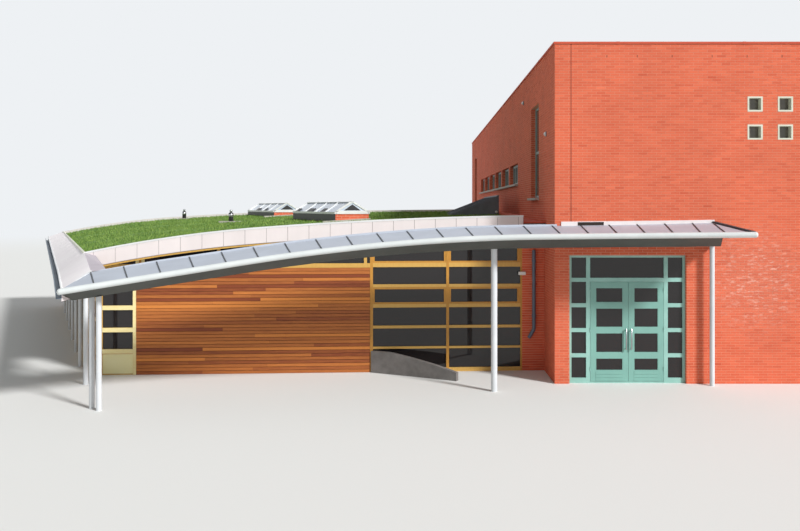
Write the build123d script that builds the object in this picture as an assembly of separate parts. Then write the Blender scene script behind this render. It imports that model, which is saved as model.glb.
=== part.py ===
"""Childcare centre: a tall brick hall and a low glazed wing under a curved grass roof,
with a curved metal canopy in front. Each sub-part is written to its own STEP file.

Sizes are in millimetres. x runs to the right along the hall's front, y runs away from
the visitor and z runs up from the ground. Plan positions are measured from the outer
front left corner of the hall, and the whole model is moved at the end so that its
origin is the middle of its footprint.
"""
from math import atan2, cos, degrees, radians, sin, tan
import os

from build123d import *

# Hall
hall_width = 10250
hall_depth = 31000
hall_height = 8125
wall_t = 350
coping_t = 50
coping_lip = 25
floor_t = 50
roof_slab_t = 250
parapet_h = 350

# Entrance screen in the front wall
pier_width = 350
screen_width = 2780
screen_head = 3050
screen_depth = 80
screen_setback = 90
jamb_width = 65
door_post_width = 95
head_h = 55
transom_h = 95
side_rail = 95
sidelight_width = 415
leaf_left_width = 905
leaf_t = 50
leaf_gap = 6
door_head = 2415
stile_width = 130
leaf_rail = 135
leaf_foot_rail = 265
glass_t = 12
rail_levels = [660, 1262, 1855]
threshold_t = 30
pull_r = 15
pull_length = 500
pull_level = 1050
pull_stand_off = 60
pull_inset = 60
hinge_r = 9
hinge_knuckle = 45
hinge_stand_off = 10
hinge_plate_t = 4
hinge_plate_width = 32
hinge_levels = [300, 1230, 2180]

# Small square windows high in the front and back walls
square_size = 360
square_pitch_x = 720
square_pitch_z = 667
square_first_x = 4580
square_drop = 2325      # sill of the lower pair, down from the hall's top
deep_frame_t = 40
deep_frame_depth = 215
deep_frame_lip = 8
deep_pane_setback = 175

# Windows in the side walls, their sills measured up from the low wing's roof line:
# a tall one near each end and a row of low ones between
reveal_setback = 120
tall_window_y = 2600
tall_window_width = 1550
tall_window_lift = 465
tall_window_height = 2550
strip_first_y = 7350
strip_width = 2420
strip_gap = 350
strip_count = 6
strip_lift = 965
strip_height = 680
sill_t = 60
sill_reach = 110
side_frame = 70

# Low wing: plan lines of the front and left facades
wing_corner_x = -11160
wing_corner_y = 1000
facade_turn = 3.23
sweep_angle = 25.0
wing_back_y = 15700
wing_wall_t = 250
frame_depth = 120

# Roof form: two arcs across, swept back along the left facade with a slight rise
roof_left_x = -11440
roof_left_z = 3085
roof_knee_x = -7100
roof_knee_z = 3690
roof_hall_z = 3985
roof_hall_slope = 0.010
roof_rise = 0.004
facade_overhang = 350
deck_t = 220
grass_t = 100
grass_drop = 100
band_height = 400
band_t = 80
gutter_width = 587
gutter_lining_t = 30
gutter_kerb_t = 80
eaves_batten_t = 45
eaves_batten_setback = 15

# Left verge
verge_run = 640
verge_fascia = 200
verge_seat = 6.5
hip_inset = 500
verge_back_z = 2916

# Canopy: nose line in plan and in height
canopy_centre_x = -400
canopy_centre_y = -28750
nose_radius = 27280
canopy_left_angle = -21.28
canopy_right_angle = 9.4
canopy_bays = 23
bay_narrowing = 0.064     # the bays are a little wider on the left than on the right
zinc_end = [(3800, 0), (4060, -1840)]
body_end = [(3850, 0), (3360, -1750)]
crown_x = -560
crown_z = 3545
crown_slope = 0.012
bend_radius = 46500
bend_length = 6400
nose_r = 65
beyond_tip = 3
zinc_t = 40
zinc_pitch = 6.5
soffit_drop = 270
soffit_start = 560

# Posts
post_r = 58
middle_post_r = 72
middle_post_x = -1510
middle_post_y = -800
right_post_x = 3670
right_post_y = -200
corner_post_places = [(-9830, -2570), (-10040, -2400)]
colonnade_first_y = -70
colonnade_pitch = 2200
colonnade_count = 7
seat_gap = 0.3

# Front facade of the wing, measured along it from its left corner
bay_posts = [(0, 25), (775, 858)]
cladding_end = 6700
glazing_end = 10600
bay_panel_top = 645
bay_rails = [(1070, 1180), (1625, 1735)]
cap_beam = (2660, 2770)
cap_posts = [30, 2860, 4730, 6545]
cap_post_face = 77
post_face = 110
foot_rail = 100
glazed_rails = [(0, 100), (590, 645), (1110, 1180), (1640, 1770), (2155, 2230), (2670, 2820)]
glazed_posts = [(6700, 6775), (8590, 8745), (10480, 10600)]
pane_setback = 45
left_bays = 5
left_corner_gap = 60

# Rooflights on the grass
ridge_light_width = 1000
ridge_light_length = 4100
ridge_light_eave_z = 4005
ridge_light_ridge_z = 4345
upstand_t = 100
ridge_light_places = [(-5560, 3400), (-8650, 11200)]
lean_to_left_x = -2300
lean_to_right_x = -gutter_width - gutter_kerb_t
lean_to_front_y = 6880
lean_to_depth = 5320
lean_to_rise = 624
glass_sheet_t = 30

# Roof vents
vent_places = [(-9500, 7900), (-13000, 14700)]
vent_r = 90
vent_h = 330
vent_cap_r = 150
vent_cap_t = 50
vent_slab = 420
vent_slab_t = 40

# Garden wall and downpipe
garden_start_x = -4420
garden_middle = (-3300, 850)
garden_end = (-2300, 330)
garden_t = 120
garden_high = 545
garden_low = 150
garden_level_share = 0.25
pipe_x = -280
pipe_r = 45
pipe_top = 3100
pipe_foot = 1070
pipe_stand_off = 20
shoe_length = 260
shoe_turn = 30
bracket_levels = [1400, 2800]
bracket_h = 40

# Lengths that only have to reach past everything else
TALL = 20000
above_roof = 2 * roof_hall_z
overrun = 1500


def box(x0, x1, y0, y1, z0, z1):
    """A block between two corners."""
    return Pos((x0 + x1) / 2, (y0 + y1) / 2, (z0 + z1) / 2) * Box(x1 - x0, y1 - y0, z1 - z0)


def prism(points, z0, z1):
    """A plan polygon raised from z0 to z1."""
    face = make_face(Polyline(*[(x, y, 0) for x, y in points], close=True))
    return Pos(0, 0, z0) * extrude(face, amount=z1 - z0, dir=(0, 0, 1))


def post(x, y, z0, z1, radius):
    """A round upright."""
    return Pos(x, y, (z0 + z1) / 2) * Cylinder(radius, z1 - z0)


def grid_frame(verticals, rails, y0, y1, z0, z1):
    """Uprights and rails of a window frame, each given as a low and a high edge."""
    x0 = verticals[0][0]
    x1 = verticals[-1][1]
    bars = [box(a, b, y0, y1, z0, z1) for a, b in verticals]
    bars += [box(x0, x1, y0, y1, a, b) for a, b in rails]
    frame = bars[0]
    for bar in bars[1:]:
        frame = frame + bar
    return frame


# Roof form of the wing

sweep = tan(radians(sweep_angle))
wing_front = Location((wing_corner_x, wing_corner_y, 0), (0, 0, facade_turn))
facade_slope = tan(radians(facade_turn))
wing_length = -wing_corner_x / cos(radians(facade_turn))


def facade_y(x, forward=0):
    """Plan y of the front facade line at x, moved forward."""
    return wing_corner_y + facade_slope * (x - wing_corner_x) - forward


roof_front_y = facade_y(roof_left_x, facade_overhang)


def roof_left_at(y):
    """Plan x of the roof's left edge at y."""
    return roof_left_x - sweep * (y - roof_front_y)


def wing_left_at(y):
    """Plan x of the left facade at y."""
    return wing_corner_x - sweep * (y - wing_corner_y)


def roof_curve(drop):
    """The roof's line across at its front edge, lowered by drop, from the hall leftwards."""
    hall_end = (0, roof_hall_z - drop)
    knee = (roof_knee_x, roof_knee_z - drop)
    left = (roof_left_x, roof_left_z - drop)
    right_arc = TangentArc(hall_end, knee, tangent=(-1, -roof_hall_slope))
    left_arc = TangentArc(knee, left, tangent=right_arc % 1)
    return [left_arc, right_arc]


def roof_slab(high, low):
    """The swept solid between two depths below the roof line."""
    edge = sweep * (wing_back_y - roof_front_y + 2 * overrun) + overrun
    edge_z = roof_hall_z + roof_hall_slope * edge
    top = roof_curve(high)
    outline = Curve() + top + roof_curve(low)
    outline += Line((0, roof_hall_z - high), (edge, edge_z - high))
    outline += Line((edge, edge_z - high), (edge, edge_z - low))
    outline += Line((edge, edge_z - low), (0, roof_hall_z - low))
    outline += Line((roof_left_x, roof_left_z - high), (roof_left_x, roof_left_z - low))
    face = make_face(outline.edges())
    moved = Pos(sweep * overrun, roof_front_y - overrun, -roof_rise * overrun) * (Plane.XZ * face)
    way = Vector(-sweep, 1, roof_rise)
    run = wing_back_y - roof_front_y + 2 * overrun
    return extrude(moved, amount=run * way.length, dir=way.normalized())


def roof_z(x, y):
    """Height of the roof line over a plan point."""
    across = x + sweep * (y - roof_front_y)
    rise = roof_rise * (y - roof_front_y)
    if across >= 0:
        return roof_hall_z + roof_hall_slope * across + rise
    left_arc, right_arc = roof_curve(0)
    arc = right_arc if across >= roof_knee_x else left_arc
    lo, hi = 0.0, 1.0
    for _ in range(40):
        mid = (lo + hi) / 2
        if (arc @ mid).X > across:
            lo = mid
        else:
            hi = mid
    return (arc @ lo).Y + rise


deck_high = grass_drop + grass_t
deck_low = deck_high + deck_t
under_roof = roof_slab(deck_low, above_roof)


def below_deck(solid):
    """Keep what lies under the roof deck."""
    return solid & under_roof


# Hall

screen_x0 = pier_width
screen_x1 = pier_width + screen_width


def hall_front():
    """Front wall in three pieces, so that the doorway stays open."""
    square_holes = [box(x, x + square_size, -1, wall_t + 1, z, z + square_size)
                    for x in square_xs() for z in square_zs()]
    top = hall_height - coping_t
    pier = box(0, screen_x0, 0, wall_t, 0, screen_head)
    right = box(screen_x1, hall_width, 0, wall_t, 0, screen_head)
    upper = box(0, hall_width, 0, wall_t, screen_head, top)
    for hole in square_holes:
        upper = upper - hole
    return {"hall_front_pier": pier, "hall_front_wall": right, "hall_front_upper_wall": upper}


def square_xs():
    return [square_first_x, square_first_x + square_pitch_x]


def square_zs():
    low = hall_height - square_drop
    return [low, low + square_pitch_z]


def side_windows():
    """Low and high y and z of every window in a side wall."""
    tall_sill = roof_hall_z + tall_window_lift
    far_y = hall_depth - tall_window_y - tall_window_width
    tall = [(y, y + tall_window_width, tall_sill, tall_sill + tall_window_height)
            for y in (tall_window_y, far_y)]
    pitch = strip_width + strip_gap
    strip_sill = roof_hall_z + strip_lift
    strips = [(strip_first_y + i * pitch, strip_first_y + i * pitch + strip_width,
               strip_sill, strip_sill + strip_height) for i in range(strip_count)]
    return tall + strips


def side_wall(x0):
    """A long side wall between the front and back walls, with its windows cut through."""
    wall = box(x0, x0 + wall_t, wall_t, hall_depth - wall_t, 0, hall_height - coping_t)
    for y0, y1, z0, z1 in side_windows():
        wall = wall - box(x0 - 1, x0 + wall_t + 1, y0, y1, z0, z1)
    return wall


def back_wall():
    wall = box(0, hall_width, hall_depth - wall_t, hall_depth, 0, hall_height - coping_t)
    for x in square_xs():
        for z in square_zs():
            wall = wall - box(x, x + square_size, hall_depth - wall_t - 1, hall_depth + 1,
                              z, z + square_size)
    return wall


def square_windows(face_y, inward):
    """Four deep picture frames that stand just proud of the outer face, and their glass."""
    near = face_y - inward * deep_frame_lip
    far = near + inward * deep_frame_depth
    y0, y1 = min(near, far), max(near, far)
    mid = near + inward * deep_pane_setback
    frames = []
    panes = []
    t = deep_frame_t
    for x in square_xs():
        for z in square_zs():
            outer = box(x, x + square_size, y0, y1, z, z + square_size)
            hole = box(x + t, x + square_size - t, y0 - 1, y1 + 1, z + t, z + square_size - t)
            frames.append(outer - hole)
            panes.append(box(x + t, x + square_size - t, mid - glass_t / 2, mid + glass_t / 2,
                             z + t, z + square_size - t))
    return frames, panes


def side_window_set(outer_x, inward):
    """Frames, glass and outer sills of a side wall's windows."""
    near = outer_x + inward * reveal_setback
    far = near + inward * frame_depth / 2
    x0, x1 = min(near, far), max(near, far)
    mid = (x0 + x1) / 2
    frames = []
    panes = []
    sills = []
    for y0, y1, z0, z1 in side_windows():
        t = side_frame
        hole = box(x0 - 1, x1 + 1, y0 + t, y1 - t, z0 + t, z1 - t)
        frame = box(x0, x1, y0, y1, z0, z1) - hole
        if z1 - z0 > strip_height:
            bar = (z0 + z1) / 2
            frame = frame + box(x0, x1, y0 + t, y1 - t, bar - t / 2, bar + t / 2)
            panes.append(box(mid - glass_t / 2, mid + glass_t / 2, y0 + t, y1 - t,
                             z0 + t, bar - t / 2))
            panes.append(box(mid - glass_t / 2, mid + glass_t / 2, y0 + t, y1 - t,
                             bar + t / 2, z1 - t))
        else:
            panes.append(box(mid - glass_t / 2, mid + glass_t / 2, y0 + t, y1 - t,
                             z0 + t, z1 - t))
        frames.append(frame)
    edge = outer_x - inward * sill_reach
    sx0, sx1 = min(edge, outer_x), max(edge, outer_x)
    near_tall, far_tall, *strips = side_windows()
    for first, last in ((near_tall, near_tall), (far_tall, far_tall), (strips[0], strips[-1])):
        sills.append(box(sx0, sx1, first[0] - sill_t, last[1] + sill_t,
                         first[2] - sill_t, first[2]))
    return frames, panes, sills


def hall_copings():
    """Metal caps on the wall tops, butted at the corners."""
    z0 = hall_height - coping_t
    lip = coping_lip
    w = wall_t
    front = box(-lip, hall_width + lip, -lip, w + lip, z0, hall_height)
    back = box(-lip, hall_width + lip, hall_depth - w - lip, hall_depth + lip, z0, hall_height)
    left = box(-lip, w + lip, w + lip, hall_depth - w - lip, z0, hall_height)
    right = box(hall_width - w - lip, hall_width + lip, w + lip, hall_depth - w - lip,
                z0, hall_height)
    return {"hall_end_copings": [front, back], "hall_side_copings": [left, right]}


def hall_body():
    nodes = hall_front()
    nodes["hall_left_wall"] = side_wall(0)
    nodes["hall_right_wall"] = side_wall(hall_width - wall_t)
    nodes["hall_back_wall"] = back_wall()
    slab_top = hall_height - coping_t - parapet_h
    inside = (wall_t, hall_width - wall_t, wall_t, hall_depth - wall_t)
    nodes["hall_roof"] = box(*inside, slab_top - roof_slab_t, slab_top)
    nodes["floors"] = [box(*inside, 0, floor_t), prism(wing_outline(wing_wall_t + seat_gap), 0, floor_t)]
    nodes.update(hall_copings())
    front_frames, front_panes = square_windows(0, 1)
    back_frames, back_panes = square_windows(hall_depth, -1)
    nodes["hall_square_frames"] = front_frames + back_frames
    left_frames, left_panes, left_sills = side_window_set(0, 1)
    right_frames, right_panes, right_sills = side_window_set(hall_width, -1)
    nodes["hall_side_frames"] = left_frames + right_frames
    nodes["hall_glass"] = front_panes + back_panes + left_panes + right_panes
    nodes["hall_sills"] = left_sills + right_sills
    return nodes


# Entrance screen and doors

door_x0 = screen_x0 + sidelight_width + door_post_width
door_x1 = screen_x1 - sidelight_width - door_post_width
leaf_right_width = door_x1 - door_x0 - leaf_left_width - 3 * leaf_gap
screen_y0 = screen_setback
screen_y1 = screen_setback + screen_depth


def entrance_screen():
    """Fixed frame: jambs, door posts, head, transom, threshold and the sidelights' rails."""
    posts = [(screen_x0, screen_x0 + jamb_width), (door_x0 - door_post_width, door_x0),
             (door_x1, door_x1 + door_post_width), (screen_x1 - jamb_width, screen_x1)]
    rails = [(screen_head - head_h, screen_head), (door_head, door_head + transom_h)]
    frame = grid_frame(posts, rails, screen_y0, screen_y1, threshold_t, screen_head)
    frame = frame + box(screen_x0, screen_x1, screen_y0, wall_t, 0, threshold_t)
    for x0, x1 in sidelight_spans(posts):
        for low, high in sidelight_rails():
            frame = frame + box(x0, x1, screen_y0, screen_y1, low, high)
    return frame, posts


def sidelight_spans(posts):
    """Low and high x of the clear width of each sidelight."""
    return [(posts[0][1], posts[1][0]), (posts[2][1], posts[3][0])]


def sidelight_rails():
    """Low and high z of the rails in a sidelight, from its foot up."""
    half = side_rail / 2
    return [(threshold_t, threshold_t + side_rail)] + [(v - half, v + half) for v in rail_levels]


def entrance_panes(posts):
    """Glass of the sidelights and of the lights over the transom."""
    mid = (screen_y0 + screen_y1) / 2
    y0, y1 = mid - glass_t / 2, mid + glass_t / 2
    rails = sidelight_rails() + [(door_head, door_head + transom_h)]
    panes = []
    for x0, x1 in sidelight_spans(posts):
        for (_, low), (high, _) in zip(rails[:-1], rails[1:]):
            panes.append(box(x0, x1, y0, y1, low, high))
    for (_, x0), (x1, _) in zip(posts[:-1], posts[1:]):
        panes.append(box(x0, x1, y0, y1, door_head + transom_h, screen_head - head_h))
    return panes


def door_leaf(x0, width, pull_x):
    """A leaf with four glass lights between its rails, a deep foot rail and a pull bar."""
    x1 = x0 + width
    z0 = threshold_t + leaf_gap
    z1 = door_head - leaf_gap
    y0, y1 = screen_y0, screen_y0 + leaf_t
    half = leaf_rail / 2
    rails = [(z0, z0 + leaf_foot_rail)] + [(v - half, v + half) for v in rail_levels]
    rails.append((z1 - leaf_rail, z1))
    leaf = grid_frame([(x0, x0 + stile_width), (x1 - stile_width, x1)], rails, y0, y1, z0, z1)
    leaf = leaf + pull_bar(pull_x, y0)
    mid = (y0 + y1) / 2
    panes = [box(x0 + stile_width, x1 - stile_width, mid - glass_t / 2, mid + glass_t / 2, low, high)
             for (_, low), (high, _) in zip(rails[:-1], rails[1:])]
    return leaf, panes


def pull_bar(x, face_y):
    """An upright pull on two stand-offs."""
    y = face_y - pull_stand_off
    low = pull_level - pull_length / 2
    bar = post(x, y, low, low + pull_length, pull_r)
    for z in (low + 2 * pull_r, low + pull_length - 2 * pull_r):
        bar = bar + box(x - pull_r / 2, x + pull_r / 2, y, face_y, z - pull_r / 2, z + pull_r / 2)
    return bar


def hinge_knuckles(axis_x, way, on_leaf):
    """Lift-off hinges: the frame's half below, the leaf's half resting over it."""
    y = screen_y0 - hinge_stand_off
    pieces = []
    for level in hinge_levels:
        z0 = level + (hinge_knuckle + seat_gap if on_leaf else 0)
        z1 = z0 + hinge_knuckle
        end = axis_x + (way if on_leaf else -way) * hinge_plate_width
        x0, x1 = min(axis_x, end), max(axis_x, end)
        plate = box(x0, x1, screen_y0 - hinge_plate_t, screen_y0, z0, z1)
        neck = box(axis_x - hinge_plate_t / 2, axis_x + hinge_plate_t / 2, y, screen_y0, z0, z1)
        pieces.append(post(axis_x, y, z0, z1, hinge_r) + plate + neck)
    return pieces


def entrance():
    frame, posts = entrance_screen()
    left_x = door_x0 + leaf_gap
    right_x = left_x + leaf_left_width + leaf_gap
    left, left_panes = door_leaf(left_x, leaf_left_width, right_x - leaf_gap - pull_inset)
    right, right_panes = door_leaf(right_x, leaf_right_width, right_x + pull_inset)
    left_axis = left_x - leaf_gap / 2
    right_axis = right_x + leaf_right_width + leaf_gap / 2
    for axis_x, way in ((left_axis, 1), (right_axis, -1)):
        for piece in hinge_knuckles(axis_x, way, False):
            frame = frame + piece
    for piece in hinge_knuckles(left_axis, 1, True):
        left = left + piece
    for piece in hinge_knuckles(right_axis, -1, True):
        right = right + piece
    return {"entrance_frame": frame, "entrance_glass": entrance_panes(posts),
            "door_left": left, "door_left_glass": left_panes,
            "door_right": right, "door_right_glass": right_panes}


# Low wing walls

sill_rail = (bay_panel_top - post_face, bay_panel_top)


def wing_outline(inset):
    """Plan polygon of the wing, set in from its outer faces."""
    turn = radians(sweep_angle)
    left_in = inset / cos(turn)
    front_in = inset / cos(radians(facade_turn))
    y_left = wing_corner_y + front_in
    for _ in range(4):
        y_left = facade_y(wing_left_at(y_left) + left_in) + front_in
    back = wing_back_y - inset
    right_y = facade_y(0) + front_in
    return [(wing_left_at(y_left) + left_in, y_left), (0, right_y), (0, back),
            (wing_left_at(back) + left_in, back)]


def on_facade(solid):
    return wing_front * solid


def front_pieces():
    """The front facade, built square and then turned onto its plan line."""
    depth = frame_depth
    clad_x0 = bay_posts[1][1]
    bay = grid_frame(bay_posts, [sill_rail] + bay_rails, 0, depth, 0, cap_beam[0])
    bay = bay + box(0, clad_x0, depth / 4, depth * 3 / 4, 0, bay_panel_top)
    bay = bay + box(0, cladding_end, 0, depth, *cap_beam)
    for x in cap_posts:
        bay = bay + box(x, x + cap_post_face, 0, depth, cap_beam[1], above_roof)
    cladding = box(clad_x0, cladding_end, 0, wing_wall_t, 0, cap_beam[0])
    glazed = grid_frame(glazed_posts, glazed_rails, 0, depth, 0, above_roof)
    brick = box(glazing_end, wing_length + wing_wall_t, 0, wing_wall_t, 0, above_roof)
    left_of_hall = box(-TALL, 0, -TALL, TALL, -TALL, TALL)
    return {"timber_front_frame": below_deck(on_facade(bay)),
            "cedar_wall": on_facade(cladding),
            "glazed_wall_frame": below_deck(on_facade(glazed)),
            "brick_return": below_deck(on_facade(brick) & left_of_hall)}


def front_glass():
    """One pane in each light of the bay, the clerestory and the glazed wall."""
    y0 = pane_setback
    y1 = pane_setback + glass_sheet_t
    panes = []
    bay_levels = [bay_panel_top] + [v for rail in bay_rails for v in rail] + [cap_beam[0]]
    for low, high_edge in zip(bay_levels[0::2], bay_levels[1::2]):
        panes.append(box(bay_posts[0][1], bay_posts[1][0], y0, y1, low, high_edge))
    for a, b in zip(cap_posts, cap_posts[1:] + [cladding_end]):
        panes.append(box(a + cap_post_face, b, y0, y1, cap_beam[1], above_roof))
    for (_, a), (b, _) in zip(glazed_posts[:-1], glazed_posts[1:]):
        tops = [low for low, _ in glazed_rails[1:]] + [above_roof]
        for (_, low), top in zip(glazed_rails, tops):
            panes.append(box(a, b, y0, y1, low, top))
    return [below_deck(on_facade(pane)) for pane in panes]


def left_facade():
    """The glazed left facade: the front bay's rails in equal bays, under a head beam."""
    depth = frame_depth
    turn = radians(sweep_angle)
    place = Location((wing_corner_x, wing_corner_y, 0), (0, 0, 90 + sweep_angle))
    run = (wing_back_y - wing_wall_t - wing_corner_y) / cos(turn)
    start = depth / cos(turn) + left_corner_gap
    pitch = (run - depth * sweep - start - post_face - seat_gap) / left_bays
    posts = [(start + i * pitch, start + i * pitch + post_face) for i in range(left_bays + 1)]
    rails = [(0, foot_rail), sill_rail] + bay_rails
    rails.append((cap_beam[0], above_roof))
    frame = grid_frame(posts, rails, -depth, 0, 0, above_roof)
    panes = []
    for (_, a), (b, _) in zip(posts[:-1], posts[1:]):
        frame = frame + box(a, b, -depth * 3 / 4, -depth / 4, foot_rail, bay_panel_top)
        for (_, low), (high, _) in zip(rails[1:-1], rails[2:]):
            panes.append(place * box(a, b, -pane_setback - glass_sheet_t, -pane_setback, low, high))
    return below_deck(place * frame), panes


def wing_body():
    nodes = front_pieces()
    frame, left_panes = left_facade()
    nodes["left_facade_frame"] = frame
    nodes["wing_glass"] = front_glass() + left_panes
    back = box(wing_left_at(wing_back_y) - TALL, 0, wing_back_y - wing_wall_t, wing_back_y, 0, above_roof)
    corner = [(wing_left_at(-TALL), -TALL), (TALL, -TALL), (TALL, TALL), (wing_left_at(TALL), TALL)]
    nodes["wing_back_wall"] = below_deck(back & prism(corner, 0, above_roof))
    return nodes


# Roof of the wing

def roof_plan(front_gap, right_x, back_y):
    """Plan polygon inside the roof's edges."""
    def edge_y(x):
        return facade_y(x, facade_overhang) + front_gap
    far = roof_left_x - TALL
    return [(far, edge_y(far)), (right_x, edge_y(right_x)), (right_x, back_y), (far, back_y)]


def wing_roof():
    ledge_x = -gutter_width - gutter_kerb_t
    nodes = {}
    plan = prism(roof_plan(band_t, 0, wing_back_y), 0, above_roof)
    nodes["roof_deck"] = roof_slab(deck_high, deck_low) & plan
    grass_plan = prism(roof_plan(band_t, ledge_x, wing_back_y - band_t), 0, above_roof)
    nodes["grass_roof"] = roof_slab(grass_drop, deck_high) & grass_plan
    far = roof_left_x - TALL
    nodes["roof_band"] = roof_slab(0, band_height) & front_strip(0, -gutter_width)
    batten = roof_slab(band_height, band_height + eaves_batten_t)
    nodes["eaves_batten"] = batten & front_strip(eaves_batten_setback, 0)
    edge = box(far, ledge_x, wing_back_y - band_t, wing_back_y, 0, above_roof)
    nodes["roof_back_edge"] = roof_slab(0, deck_high) & edge
    kerb = box(ledge_x, -gutter_width, -TALL, TALL, 0, above_roof) & roof_slab(0, deck_high)
    gutter = box(-gutter_width, 0, -TALL, TALL, 0, above_roof)
    gutter = gutter & roof_slab(deck_high - gutter_lining_t, deck_high)
    nodes["side_ledge"] = plan & (kerb + gutter)
    return nodes


def front_strip(setback, right_x):
    """Plan strip along the roof's front edge, from setback to the band's back."""
    far = roof_left_x - TALL
    front = [(x, facade_y(x, facade_overhang)) for x in (far, right_x)]
    outline = [(x, y + setback) for x, y in front] + [(x, y + band_t) for x, y in reversed(front)]
    return prism(outline, 0, above_roof)


def verge():
    """Sloping metal edge along the left side, from the canopy's tip to the back."""
    tip_x, tip_y = tip_point()
    hip_y = roof_front_y + (roof_left_x - tip_x) / sweep
    tip_z = nose_height(tip_x)
    hip_z = nose_height(tip_x + hip_inset) + zinc_t + tan(radians(zinc_pitch)) * (hip_y - tip_y)
    low = tip_z - verge_fascia
    start_y = tip_y + nose_r + verge_seat
    sections = [[(tip_x, start_y, tip_z), (tip_x, hip_y, hip_z), (tip_x, hip_y, low),
                 (tip_x, start_y, low)]]
    front_out = tip_z + (verge_back_z - tip_z) * (roof_front_y - tip_y) / (wing_back_y - tip_y)
    for y, out_z in ((roof_front_y, front_out), (wing_back_y, verge_back_z)):
        x_in = roof_left_at(y)
        x_out = x_in - verge_run
        foot_z = out_z - verge_fascia
        sections.append([(x_out, y, out_z), (x_in, y, roof_z(x_in, y)), (x_in, y, foot_z),
                         (x_out, y, foot_z)])
    wires = [Wire(Polyline(*points, close=True)) for points in sections]
    return Solid.make_loft(wires, ruled=True)


# Canopy

def nose_height(x):
    """Height of the nose's centre: a gentle slope, then an arc, then a straight fall."""
    if x >= crown_x:
        return crown_z + crown_slope * (x - crown_x)
    back = crown_x - x
    bent = min(back, bend_length)
    fall = bent ** 2 / (2 * bend_radius) + (back - bent) * bent / bend_radius
    return crown_z - crown_slope * back - fall


def nose_point(angle, beyond=0):
    reach = nose_radius + beyond
    return (canopy_centre_x + reach * sin(radians(angle)),
            canopy_centre_y + reach * cos(radians(angle)))


def tip_point():
    return nose_point(canopy_left_angle)


def strip_width_at(angle):
    """The strip is even on the left and widens on the right to stay against the wall."""
    if angle <= 0:
        return -canopy_centre_y - nose_radius
    return -canopy_centre_y / cos(radians(angle)) - nose_radius


def station_angles():
    """Angles of the seams, from three bays beyond the tip to the right end."""
    sweep_of_all = canopy_right_angle - canopy_left_angle
    shares = [i / canopy_bays for i in range(-beyond_tip, canopy_bays + 1)]
    return [canopy_left_angle + sweep_of_all * (s + bay_narrowing * s * (1 - s)) for s in shares]


def seam_height(x, y):
    """Height of the nose line that the straight-lined bays give over a plan point."""
    angle = degrees(atan2(x - canopy_centre_x, y - canopy_centre_y))
    angles = station_angles()
    for low, high in zip(angles[:-1], angles[1:]):
        if low <= angle <= high:
            share = (angle - low) / (high - low)
            low_z, high_z = (nose_height(nose_point(a)[0]) for a in (low, high))
            return (1 - share) * low_z + share * high_z
    raise ValueError("the point is beyond the canopy's ends")


def section_wire(angle, outline):
    """A closed outline of (distance behind the nose, height over it) in a radial plane."""
    x, _ = nose_point(angle)
    base = nose_height(x)
    points = []
    for back, up in outline:
        px, py = nose_point(angle, back)
        points.append((px, py, base + up))
    return Wire(Polyline(*points, close=True))


def canopy_strip(outline_at, angles):
    return Solid.make_loft([section_wire(a, outline_at(a)) for a in angles], ruled=True)


def left_of_line(ends):
    """Everything in plan to the left of the line from the wall to the nose."""
    (x0, y0), (x1, y1) = ends
    slope = (x1 - x0) / (y1 - y0)
    return prism([(-TALL, TALL), (-TALL, -TALL), (x0 + slope * (-TALL - y0), -TALL),
                  (x0 + slope * (TALL - y0), TALL)], -TALL, TALL)


def canopy():
    rise = tan(radians(zinc_pitch))
    start = nose_r

    def body_outline(angle):
        w = strip_width_at(angle)
        return [(start, 0), (w, rise * (w - start)), (w, -soffit_drop),
                (soffit_start, -soffit_drop), (start, -nose_r)]

    def zinc_outline(angle):
        w = strip_width_at(angle)
        return [(start, 0), (start, zinc_t), (w, rise * (w - start) + zinc_t),
                (w, rise * (w - start))]

    angles = station_angles()
    tip_x, _ = tip_point()
    keep = box(tip_x, TALL, -TALL, 0, -TALL, TALL)
    body = canopy_strip(body_outline, angles) & keep & left_of_line(body_end)
    zinc = canopy_strip(zinc_outline, angles) & keep & left_of_line(zinc_end)
    wires = []
    for angle in angles[beyond_tip:]:
        x, y = nose_point(angle)
        out = (sin(radians(angle)), cos(radians(angle)), 0)
        plane = Plane(origin=(x, y, nose_height(x)), x_dir=out, z_dir=(out[1], -out[0], 0))
        wires.append(plane * Wire.make_circle(nose_r - seat_gap))
    nose = Solid.make_loft(wires, ruled=True)
    return {"canopy_body": body, "canopy_roof": zinc, "canopy_nose": nose}


def canopy_post(x, y, radius):
    """A round post, its head cut to the slope of the soffit."""
    step = radius

    def soffit(px, py):
        return seam_height(px, py) - soffit_drop - seat_gap

    head = Vector(x, y, soffit(x, y))
    along = Vector(step, 0, (soffit(x + step, y) - soffit(x - step, y)) / 2)
    away = Vector(0, step, (soffit(x, y + step) - soffit(x, y - step)) / 2)
    cut = Plane(origin=head, z_dir=along.cross(away))
    return split(post(x, y, 0, head.Z + radius, radius), bisect_by=cut, keep=Keep.BOTTOM)


def verge_posts(carrier):
    """The colonnade under the left verge, in line with the roof's left edge."""
    posts = []
    for i in range(colonnade_count):
        y = colonnade_first_y + colonnade_pitch * i
        x = roof_left_at(y)
        over = post(x, y, 0, roof_left_z, post_r) & carrier
        posts.append(post(x, y, 0, over.bounding_box().min.Z - seat_gap, post_r))
    return posts


# Rooflights and vents

below_grass = roof_slab(grass_drop, above_roof)


def ridge_light(x, y):
    """A gabled rooflight in line with the sweep: a brick kerb and its glass prism."""
    width, length = ridge_light_width, ridge_light_length
    place = Location((x, y, 0), (0, 0, sweep_angle))
    kerb = box(0, width, 0, length, roof_left_z, ridge_light_eave_z)
    kerb = kerb - box(upstand_t, width - upstand_t, upstand_t, length - upstand_t,
                      0, ridge_light_eave_z + 1)
    kerb = (place * kerb) - below_grass
    gable = make_face(Polyline((0, ridge_light_eave_z), (width, ridge_light_eave_z),
                               (width / 2, ridge_light_ridge_z), close=True))
    glass = extrude(Plane.XZ * gable, amount=length, dir=(0, 1, 0))
    return kerb, place * glass


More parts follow.
